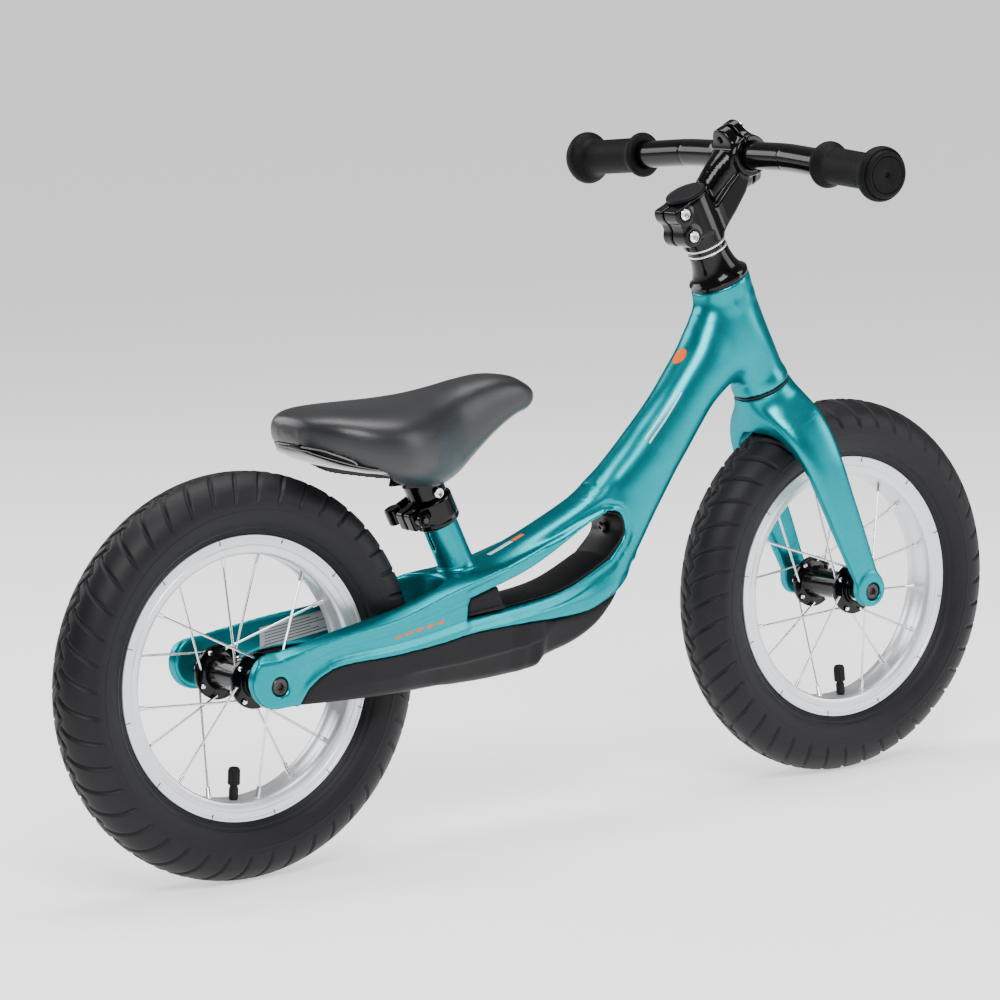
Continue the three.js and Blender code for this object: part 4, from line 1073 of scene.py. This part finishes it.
def top_plate():
    """The plate on the stem: a dished disc in a raised edge."""
    high = STEM_HIGH + 3.6
    profile = [
        [0, STEM_HIGH + 0.4], [16.2, STEM_HIGH + 0.4], [16.6, STEM_HIGH + 0.8], [16.6, high - 1],
        [16.1, high - 0.2], [15.4, high], [14.6, high - 0.4], [14.2, high - 0.7], [0, high - 0.6],
    ]
    turned_ring("stem_plate", profile, PLASTIC, "stem_top_cap")


def stem_bolts():
    """Two bolts across the stem's pinch and two from the front of the bar clamp."""
    pinch = bolt(4.5, 3.4, 2.4, 28, 2.5, 2.4), Matrix.Rotation(math.pi / 2, 4, "X")
    clamp = bolt(4.4, 4, 2.4, 21, 2.4, 2.6), Matrix.Rotation(math.pi / 2, 4, "Y")
    for end, up in zip(("lower", "upper"), PINCH_BOLTS):
        skin = moved(pinch[0], (PINCH_AHEAD, -18.8, up), pinch[1])
        crisp("pinch_bolt_" + end, skin, STEEL, "steering", ["stem_bolt_" + end], STEER)
    for end, up in zip(("lower", "upper"), CLAMP_BOLTS):
        skin = moved(clamp[0], (BAR_AHEAD + 13, 0, BAR_UP + up), clamp[1])
        crisp("clamp_bolt_" + end, skin, STEEL, "steering", ["bar_clamp_bolt_" + end], STEER)


top_plate()
stem_bolts()


# ---- handlebar and grips
BAR_BEND = 62
BAR_SWEEP = math.tan(math.radians(4.7))
BAR_DROP = math.tan(math.radians(3.8))
BAR_HALF = 189
GRIP_AT = 114


def bar_point(y):
    """The middle of the bar at a distance to the left: straight, then swept back and down."""
    out = np.abs(y) - BAR_BEND
    out = (out + np.sqrt(out * out + 60)) / 2 - (np.sqrt(BAR_BEND**2 + 60) - BAR_BEND) / 2
    return np.stack([BAR_MIDDLE.x - BAR_SWEEP * out, y, BAR_MIDDLE.z - BAR_DROP * out], -1)


def tube_along(path, radius, sides=48):
    """Rings about a path that lies mostly along Y, each of its own radius."""
    ahead = np.gradient(path, axis=0)
    ahead /= np.linalg.norm(ahead, axis=1)[:, None]
    across = np.cross(ahead, [0, 0, 1])
    across /= np.linalg.norm(across, axis=1)[:, None]
    up = np.cross(across, ahead)
    angle = np.linspace(0, 2 * np.pi, sides, endpoint=False)
    c, s = np.cos(angle)[None, :, None], np.sin(angle)[None, :, None]
    return path[:, None] + np.asarray(radius)[:, None, None] * (across[:, None] * c + up[:, None] * s)


def handlebar():
    near_bends = [sign * (BAR_BEND + d) for sign in (-1, 1) for d in (-2, -1, 0, 1, 2)]
    y = np.unique(np.concatenate([np.linspace(-BAR_HALF, BAR_HALF, 90), near_bends]))
    pressed = np.exp(-((np.abs(y) - BAR_BEND - 0.5) ** 2) / 1.2)
    outer = tube_along(bar_point(y), BAR_TUBE - 0.25 * pressed)
    inner = tube_along(bar_point(y[::-1]), np.full(len(y), BAR_TUBE - 1.8))
    rings = np.vstack([outer, inner])
    points = rings.reshape(-1, 3)
    faces = outward(points, grid_faces(len(rings), rings.shape[1], close_rows=True))
    crisp("bar_tube", (points, faces), GLOSS, "bars", ["handlebar"])


def grip(side, sign):
    """A rubber grip: a round inner flange, a textured sleeve and a bulb with a ringed end."""
    length = BAR_HALF - GRIP_AT
    end = length + 4.6
    body = spline([
        [13.2, 0], [16, 0.2], [17.9, 1.6], [18.4, 3.6], [17.8, 5.8], [16.4, 8], [15, 10], [14.3, 12],
        [14.2, 20], [14.1, length - 22], [14.4, length - 16], [16, length - 12.5], [18.8, length - 10],
        [20.8, length - 7.5], [21.5, length - 4.6], [21.1, length - 1.6], [20, length + 0.6],
    ], 6)
    ends = [
        [19.4, length + 1], [19, length + 0.4], [18.6, length + 1.2], [18.2, end - 1.4],
        [17.4, end - 0.4], [16, end], [14.7, end - 0.2], [14.2, end - 0.9], [13.7, end - 0.2],
        [3, end + 0.2], [2.2, end - 0.2], [1.8, end - 1.6], [0, end - 1.8],
    ]
    inside = [[0, length + 1], [11.5, length + 1], [11.5, 0.4]]
    sleeve = lambda row: smooth_step((row - 12) / 2) * smooth_step((length - 16 - row) / 2)
    fine = np.linspace(12, length - 16, 70)
    radius = np.interp(fine, body[:, 1], body[:, 0])
    first = body[body[:, 1] < 11.9]
    last = body[body[:, 1] > length - 15.9]
    profile = np.vstack([first, np.stack([radius, fine], 1), last, ends, inside])
    ribs = lambda angle, row: 1 + 0.013 * sleeve(row) * np.cos(30 * angle) * np.cos(2 * math.pi * row / 3.4)
    skin = turned(profile, "z", 180, swell=ribs)
    inner, outer = (Vector(bar_point(np.array(float(sign * y)))) for y in (GRIP_AT, BAR_HALF))
    turn = Matrix.Translation(inner) @ (outer - inner).to_track_quat("Z", "Y").to_matrix().to_4x4()
    crisp("grip_moulding_" + side, moved(skin, matrix=turn), GRIP, "bars", ["grip_" + side], degrees=50)


handlebar()
grip("left", 1)
grip("right", -1)


# ---- seat clamp, post and bracket: pieces drawn in the seat post's frame
POST_RADIUS = 11.1
SKEWER_BEHIND = -20
SKEWER_UP = 15
CAM_OUT = 24.2
SADDLE_BOLT_UP = 28
# The lever's blade from above: [ahead, left, half thickness, half height].
LEVER = [
    [-24, 27.5, 2.9, 5.6], [-12, 28.2, 2.6, 5.4], [0, 27.6, 2.2, 6.2], [10, 25.2, 2.1, 6.4],
    [17, 22, 1.7, 5],
]


def collar_field(x, y, z):
    out = np.hypot(x, y)
    band = round_max(out - 17.6, np.abs(z - 11.45) - 11.05, 2.2)
    ears = box_field(x, y, z, (SKEWER_BEHIND, 0, SKEWER_UP), (7.5, 10.5, 7.5), 2.5)
    shape = smooth_min(band, ears, 3)
    groove = np.hypot(out - 18.2, z - 5) - 1.0
    tube_seat = np.maximum(out - 14.25, z - 18.6)
    split = np.maximum(np.abs(y) - 1.2, x + 10)
    skewer_hole = np.hypot(x - SKEWER_BEHIND, z - SKEWER_UP) - 2.9
    return cut(shape, groove, tube_seat, out - SEAT_BORE, split, skewer_hole)


def lever_field(x, y, z):
    """A cam on its upright pin and a blade that curls forward round the clamp, thin at its tip."""
    cam = np.hypot(x - SKEWER_BEHIND, y - CAM_OUT) - 6.4
    cam = round_max(cam, np.abs(z - SKEWER_UP) - 6.4, 1.2)
    blade = limb_field(LEVER, x, y, z - SKEWER_UP, 3.2)
    return smooth_min(cam, blade, 2)


def bracket_field(x, y, z):
    """In the bike's own frame: a socket on the post that flares up into the plate under the saddle."""
    ahead, up = local(x, z, SEAT)
    out = np.hypot(ahead, y)
    socket = round_max(out - 15.3, np.abs(up - 35) - 11, 1.5)
    plate = box_field(x, y, z, (-126, 0, 291.8), (25, 17, 2.5), 1.5)
    ribs = np.maximum(np.abs(np.abs(y) - 9) - 1.6, np.abs(x + 122 - 0.3 * (z - 285)) - 18)
    ribs = np.maximum(ribs, np.abs(z - 286) - 7)
    shape = smooth_min(smooth_min(socket, plate, 6), ribs, 1.5)
    shape = np.maximum(shape, z - 294.3)
    return cut(shape, np.maximum(out - 11.5, up - 40.5))


def seat_post():
    low, high, radius = -49.6, 40, POST_RADIUS
    profile = [
        [9.4, low], [10.6, low], [radius, low + 0.5], [radius, -12.2], [10.9, -12], [10.9, -11.4],
        [radius, -11.2], [radius, high - 0.5], [10.6, high], [9.4, high],
    ]
    crisp("post_tube", turned(profile, "z", 96), GLOSS, "seat", ["seat_post"], SEAT)


def clamp_fasteners():
    """The skewer through the clamp with its nut, and the saddle's bolt, which all lie across the bike."""
    skewer = [[0, -15.8], [2.1, -15.8], [2.5, -15.4], [2.5, 18.6], [2.1, 19], [0, 19]]
    nut = [[2.9, 10.9], [5.2, 10.9], [5.6, 11.3], [5.6, 16.2], [5.1, 16.9], [4.3, 17], [3.6, 16.2], [2.9, 16]]
    at_skewer = (SKEWER_BEHIND, 0, SKEWER_UP)
    at_saddle = (0, -18.6, SADDLE_BOLT_UP)
    across = Matrix.Rotation(math.pi / 2, 4, "X")
    for name, skin, place, material, body, node in (
        # The skewer rod is dark so that its end in the nut's recess reads dark: painted shade.
        ("skewer_rod", turned(skewer, "z", 32), at_skewer, DARK_STEEL, "frame", "clamp_skewer"),
        ("skewer_nut", turned(nut, "z", 48), at_skewer, GLOSS, "frame", "clamp_nut"),
        ("saddle_bolt_turning", bolt(4.1, 2.6, 2.5, 37, 2.2, 1.8), at_saddle, STEEL, "seat", "saddle_bolt"),
    ):
        crisp(name, moved(skin, place, across), material, body, [node], SEAT)


field_mesh(
    "seat_collar", collar_field, (-30, -20, -1), (20, 20, 26), 0.55, GLOSS, "frame", ["seat_clamp"], SEAT,
    smooth=2,
)
field_mesh(
    "quick_release_lever", lever_field, (-32, 15, 6), (20, 33, 24), 0.55, GLOSS, "lever", ["clamp_lever"],
    SEAT, mirror=False, smooth=2,
)
field_mesh(
    "saddle_bracket_casting", bracket_field, (-156, -20, 258), (-96, 20, 298), 0.7, GLOSS, "seat",
    ["saddle_bracket"], smooth=2,
)
seat_post()
clamp_fasteners()


# ---- saddle
# Along the bike: [x, underside, top, half width] of the padded top and of the shell below it.
PAD = [
    [-238.5, 326, 334, 8], [-237, 322, 338.5, 19], [-232, 316.5, 343, 32], [-218, 306.5, 346.5, 50],
    [-198, 293, 347.5, 62.5], [-172, 284, 347.5, 66.5], [-146, 279, 348, 59], [-122, 277.5, 350, 46],
    [-100, 283, 353.5, 34.5], [-80, 297, 357, 28.5], [-58, 313, 359, 24.5], [-38, 324, 356.5, 20.5],
    [-26, 328, 351, 17], [-19, 332.5, 346, 12], [-16, 336, 342, 6],
]
SHELL_STATIONS = [
    [-237, 320, 323, 8], [-234.5, 317, 323.5, 19], [-227, 312, 323.5, 34], [-210, 304, 323, 50],
    [-190, 298, 322, 58.5], [-172, 295.5, 322, 57], [-146, 295, 324, 49], [-122, 295, 328, 36],
    [-100, 300, 332, 25], [-80, 308, 336, 19], [-58, 320, 339, 14], [-36, 330, 340, 8],
]
PAD_POWER = 2.6  # how square each section is, where 2 is an ellipse
SHELL_POWER = 3.2


def section(stations, x):
    """The middle height, half height and half width of a saddle part at x."""
    fine = spline(stations)
    low, high, half = (np.interp(x, fine[:, 0], fine[:, k]) for k in (1, 2, 3))
    return (low + high) / 2, (high - low) / 2, half


def saddle_field(stations, x, y, z, power):
    mid, tall, half = section(stations, x)
    shape = oval_field(z - mid, y, tall, half, power)
    ends = np.maximum(stations[0][0] - x, x - stations[-1][0])
    return smooth_max(shape, ends, 4)


def pad_field(x, y, z):
    pad = saddle_field(PAD, x, y, z, PAD_POWER)
    base = saddle_field(SHELL_STATIONS, x, y, z, SHELL_POWER)
    pad = round_max(pad, 0.4 - base, 0.8)
    mid, _, half = section(SHELL_STATIONS, x)
    under = np.maximum(np.abs(y) - half + 10 * smooth_step((x + 196) / 26), z - mid)
    return cut(pad, under)


def shell_field(x, y, z):
    return saddle_field(SHELL_STATIONS, x, y, z, SHELL_POWER)


def shell_painted_highlight_bead():
    """A fine raised grey line round the back of the shell, a little above its lower edge, whose grey is a
    painted highlight along the glossy shell's rounded edge.
    """
    x = np.linspace(-236, -192, 60)
    mid, tall, half = section(SHELL_STATIONS, x)
    rise = 0.62
    side = np.stack([x, half * (1 - rise**SHELL_POWER) ** (1 / SHELL_POWER), mid - rise * tall], 1)[::-1]
    cord("shell_painted_highlight_bead", np.vstack([side * [1, -1, 1], side[::-1]]), 0.5)


def piping():
    """A thin grey cord along the line where the padded top meets the shell, all round the back."""
    lines = []
    for x in np.linspace(-236, -194, 60):
        mid, tall, half = section(PAD, x)
        turn = np.linspace(0, math.pi / 2, 200)
        y = half * np.cos(turn) ** (2 / PAD_POWER)
        z = mid - tall * np.sin(turn) ** (2 / PAD_POWER)
        base = saddle_field(SHELL_STATIONS, np.full(200, x), y, z, SHELL_POWER)
        inside = np.argmax(base < 0.3)
        if inside:
            lines.append((x, y[inside], z[inside]))
    side = np.array(lines)[::-1]
    cord("saddle_piping", np.vstack([side * [1, -1, 1], side[::-1]]), 0.75)


# Lofts the grey cords: the saddle's piping, and the shell's line whose grey is a painted highlight.
def cord(name, path, radius):
    line = spline(path[::3], 6)
    mesh_object(name, *loft(tube_along(line, np.full(len(line), radius), 12)), PIPING_AND_HIGHLIGHT, "seat")


pad = field_mesh(
    "saddle_cushion", pad_field, (-241, -69, 278), (-12, 69, 359), 1.15, VINYL, "seat", ["saddle_pad"],
    smooth=6,
)
field_mesh(
    "saddle_shell", shell_field, (-239, -63, 286), (-33, 63, 343), 1.0, SHELL, "seat", ["saddle_base"],
    smooth=3,
)
piping()
shell_painted_highlight_bead()


# ---- small fixings
def cover_screws():
    for name in ("cover_screw_1", "cover_screw_2"):
        low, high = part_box(name)
        x, floor = (low.x + high.x) / 2 / MM, low.z / MM
        screw = moved(bolt(3.9, 1.3, 1.6, 16, 2.0, 0.9), matrix=Matrix.Rotation(math.pi, 4, "X"))
        crisp(name + "_turning", moved(screw, (x, 0, floor)), STEEL, "frame", [name])


def lining_screw():
    """The round screw head in the lining, near the top of the opening's front end."""
    lean = Matrix.Rotation(math.radians(-112), 4, "Y")
    screw = bolt(4.4, 2.4, 2, 5, 1.7, 1.2, chamfer=1.2)
    crisp("lining_screw", moved(screw, (51.2, 0, 227), lean), DARK_STEEL, "frame")


cover_screws()
lining_screw()


# ---- plain marks on the paint
# Each is a thin film that follows the casting: rays from outside find the surface under its grid.
ORANGE = surface("orange_mark", (0.78, 0.11, 0.002), 0.4, vary=0.05, specular=0.15)
PALE = surface("pale_mark", (0.55, 0.62, 0.63), 0.4, metallic=0.3, vary=0.05)
LABEL = surface("grey_label", (0.32, 0.36, 0.37), 0.45, vary=0.08)
PAINTED = bpy.data.objects["frame_casting"].data
SKIN = BVHTree.FromPolygons(
    [v.co.copy() for v in PAINTED.vertices], [tuple(p.vertices) for p in PAINTED.polygons]
)


def landed(starts, aims, lift):
    found = np.zeros(starts.shape)
    for i in np.ndindex(starts.shape[:2]):
        aim = Vector(aims[i]).normalized()
        place, facing = SKIN.ray_cast(Vector(starts[i]) * MM, aim)[:2]
        facing = -facing if facing.dot(aim) > 0 else facing
        found[i] = np.array(place) / MM + np.array(facing) * lift
    return found


def film(name, starts, aims, material, lift=0.15):
    """A film over the casting from a grid of starting points, [row, column, xyz], and where they aim."""
    starts, aims = (np.array(a, float) for a in np.broadcast_arrays(starts, aims))
    rings = np.concatenate([landed(starts, aims, lift), landed(starts, aims, -0.3)[:, ::-1]], axis=1)
    mesh_object(name, *loft(rings), material, "frame")


def on_spar(along, turn):
    """Rays at the spar: along counts its stations, turn is the angle from its back round to the right."""
    path = spline(SPAR, 20)
    step = np.asarray(along) * 20
    middle_line = np.stack([np.interp(step, np.arange(len(path)), path[:, k]) for k in (0, 1)], -1)
    ahead = np.stack([np.interp(step, np.arange(len(path)), np.gradient(path[:, k])) for k in (0, 1)], -1)
    ahead /= np.linalg.norm(ahead, axis=-1, keepdims=True)
    behind = np.cos(turn)
    out = np.stack([ahead[..., 1] * behind, -np.sin(turn) + 0 * step, -ahead[..., 0] * behind], -1)
    centre = np.stack([middle_line[..., 0], 0 * step, middle_line[..., 1]], -1)
    return centre + 60 * out, -out


def lattice(from_u, to_u, steps_u, from_v, to_v, steps_v):
    """Rows of u and v, evenly spaced between their ends."""
    return np.meshgrid(np.linspace(from_u, to_u, steps_u), np.linspace(from_v, to_v, steps_v), indexing="ij")


def marks():
    u, v = lattice(-1, 1, 13, -1, 1, 13)
    disc_u, disc_v = u * np.sqrt(1 - v * v / 2), v * np.sqrt(1 - u * u / 2)
    film("round_mark", *on_spar(2.55 + 0.3 * disc_u, 0.05 + 0.26 * disc_v), ORANGE)
    for i, turn in enumerate((0.66, 0.84)):
        along, across = lattice(3.7, 5.9, 40, -0.03, 0.03, 4)
        film(f"spar_stripe_{i + 1}", *on_spar(along, turn + across), PALE, 0.25)
    for i in range(5):
        x, up = lattice(-178, -171, 6, -1.1, 1.1, 2)
        x = x + 10.6 * i
        starts = np.stack([x + up, -80 + 0 * x, 174 + 0.115 * (x + 178) + up], -1)
        film(f"stay_dash_{i + 1}", starts, [0, 1, 0], ORANGE)
    for name, ends, material in (("pale", (-58, -36), PALE), ("orange", (-35, -25), ORANGE)):
        x, y = lattice(*ends, 20, -3.5, 1.5, 4)
        film("top_strip_" + name, np.stack([x, y, 300 + 0 * x], -1), [0, 0, -1], material)
    label_rows(-240, -180, 0, 1, 24, LABEL, "stay_label", 0.2)
    for i in range(6):
        low = 0.12 + 0.14 * i
        label_rows(-236, -184 - 7 * (i % 3), low, low + 0.035, 20, DARK_MARK, f"label_line_{i + 1}", 0.3)


def label_rows(from_x, to_x, low, high, steps, material, name, lift):
    """A band of the plain label inside the left stay; low and high run from its foot to its top."""
    x, t = lattice(from_x, to_x, steps, low, high, 5)
    foot = 161.5 + 0.165 * (x + 240)
    starts = np.stack([x, 0 * x, foot + 16.5 * t], -1)
    film(name, starts, [0, 1, 0], material, lift)


marks()


# ---- camera, light and floor
PHOTO_AIM = Vector((-0.0449, 0, 0.2595))  # in metres, as all of the camera and lights
PHOTO_DISTANCE = 3.2263
PHOTO_LENS = 150.28
FLOOR_HALF = 60.0


def photo_camera():
    """The camera at the photograph's viewing angle: behind the bike's right side, a little above it."""
    azimuth, elevation, roll = math.radians(-35.68), math.radians(8.19), math.radians(-1.609)
    level = math.cos(elevation)
    back = Vector((math.sin(azimuth) * level, -math.cos(azimuth) * level, math.sin(elevation)))
    right = Vector((math.cos(azimuth), math.sin(azimuth), 0))
    up = back.cross(right)
    rolled = Matrix.Rotation(roll, 3, back)
    axes = Matrix((rolled @ right, rolled @ up, back)).transposed().to_4x4()
    camera = bpy.data.objects.new("camera", bpy.data.cameras.new("camera"))
    camera.data.lens = PHOTO_LENS
    camera.data.sensor_width = 36
    camera.matrix_world = Matrix.Translation(PHOTO_AIM + back * PHOTO_DISTANCE) @ axes
    bpy.context.scene.collection.objects.link(camera)
    bpy.context.scene.camera = camera


def area_light(name, place, size, power):
    """A soft light that looks at the middle of the bike."""
    light = bpy.data.lights.new(name, "AREA")
    light.shape = "RECTANGLE"
    light.size, light.size_y = size
    light.energy = power
    obj = bpy.data.objects.new(name, light)
    place = Vector(place)
    turn = (Vector((0, 0, 0.27)) - place).to_track_quat("-Z", "Y").to_matrix().to_4x4()
    obj.matrix_world = Matrix.Translation(place) @ turn
    bpy.context.scene.collection.objects.link(obj)


def studio():
    world = bpy.data.worlds.new("studio")
    world.use_nodes = True
    put(world.node_tree.nodes["Background"], Color=(1, 1, 1, 1), Strength=0.22)
    bpy.context.scene.world = world
    area_light("key", (-1.2, -1.9, 2.2), (1.6, 1.2), 95)
    area_light("fill", (1.9, -1.5, 1.1), (1.2, 1.6), 32)
    area_light("top", (0.2, 0.3, 2.4), (2.2, 1.0), 58)
    area_light("back", (-1.0, 2.2, 1.3), (1.8, 1.0), 32)
    floor = bpy.data.meshes.new("floor")
    corners = [(x * FLOOR_HALF, y * FLOOR_HALF, 0) for x, y in ((-1, -1), (1, -1), (1, 1), (-1, 1))]
    floor.from_pydata(corners, [], [(0, 1, 2, 3)])
    ground = bpy.data.objects.new("floor", floor)
    bpy.context.scene.collection.objects.link(ground)
    pale = surface("pale_floor", (0.86, 0.86, 0.86), 0.6, vary=0.01, patch=3)
    put(pale.node_tree.nodes["Principled BSDF"], Emission_Color=(1, 1, 1, 1), Emission_Strength=0.85)
    floor.materials.append(pale)


photo_camera()
studio()
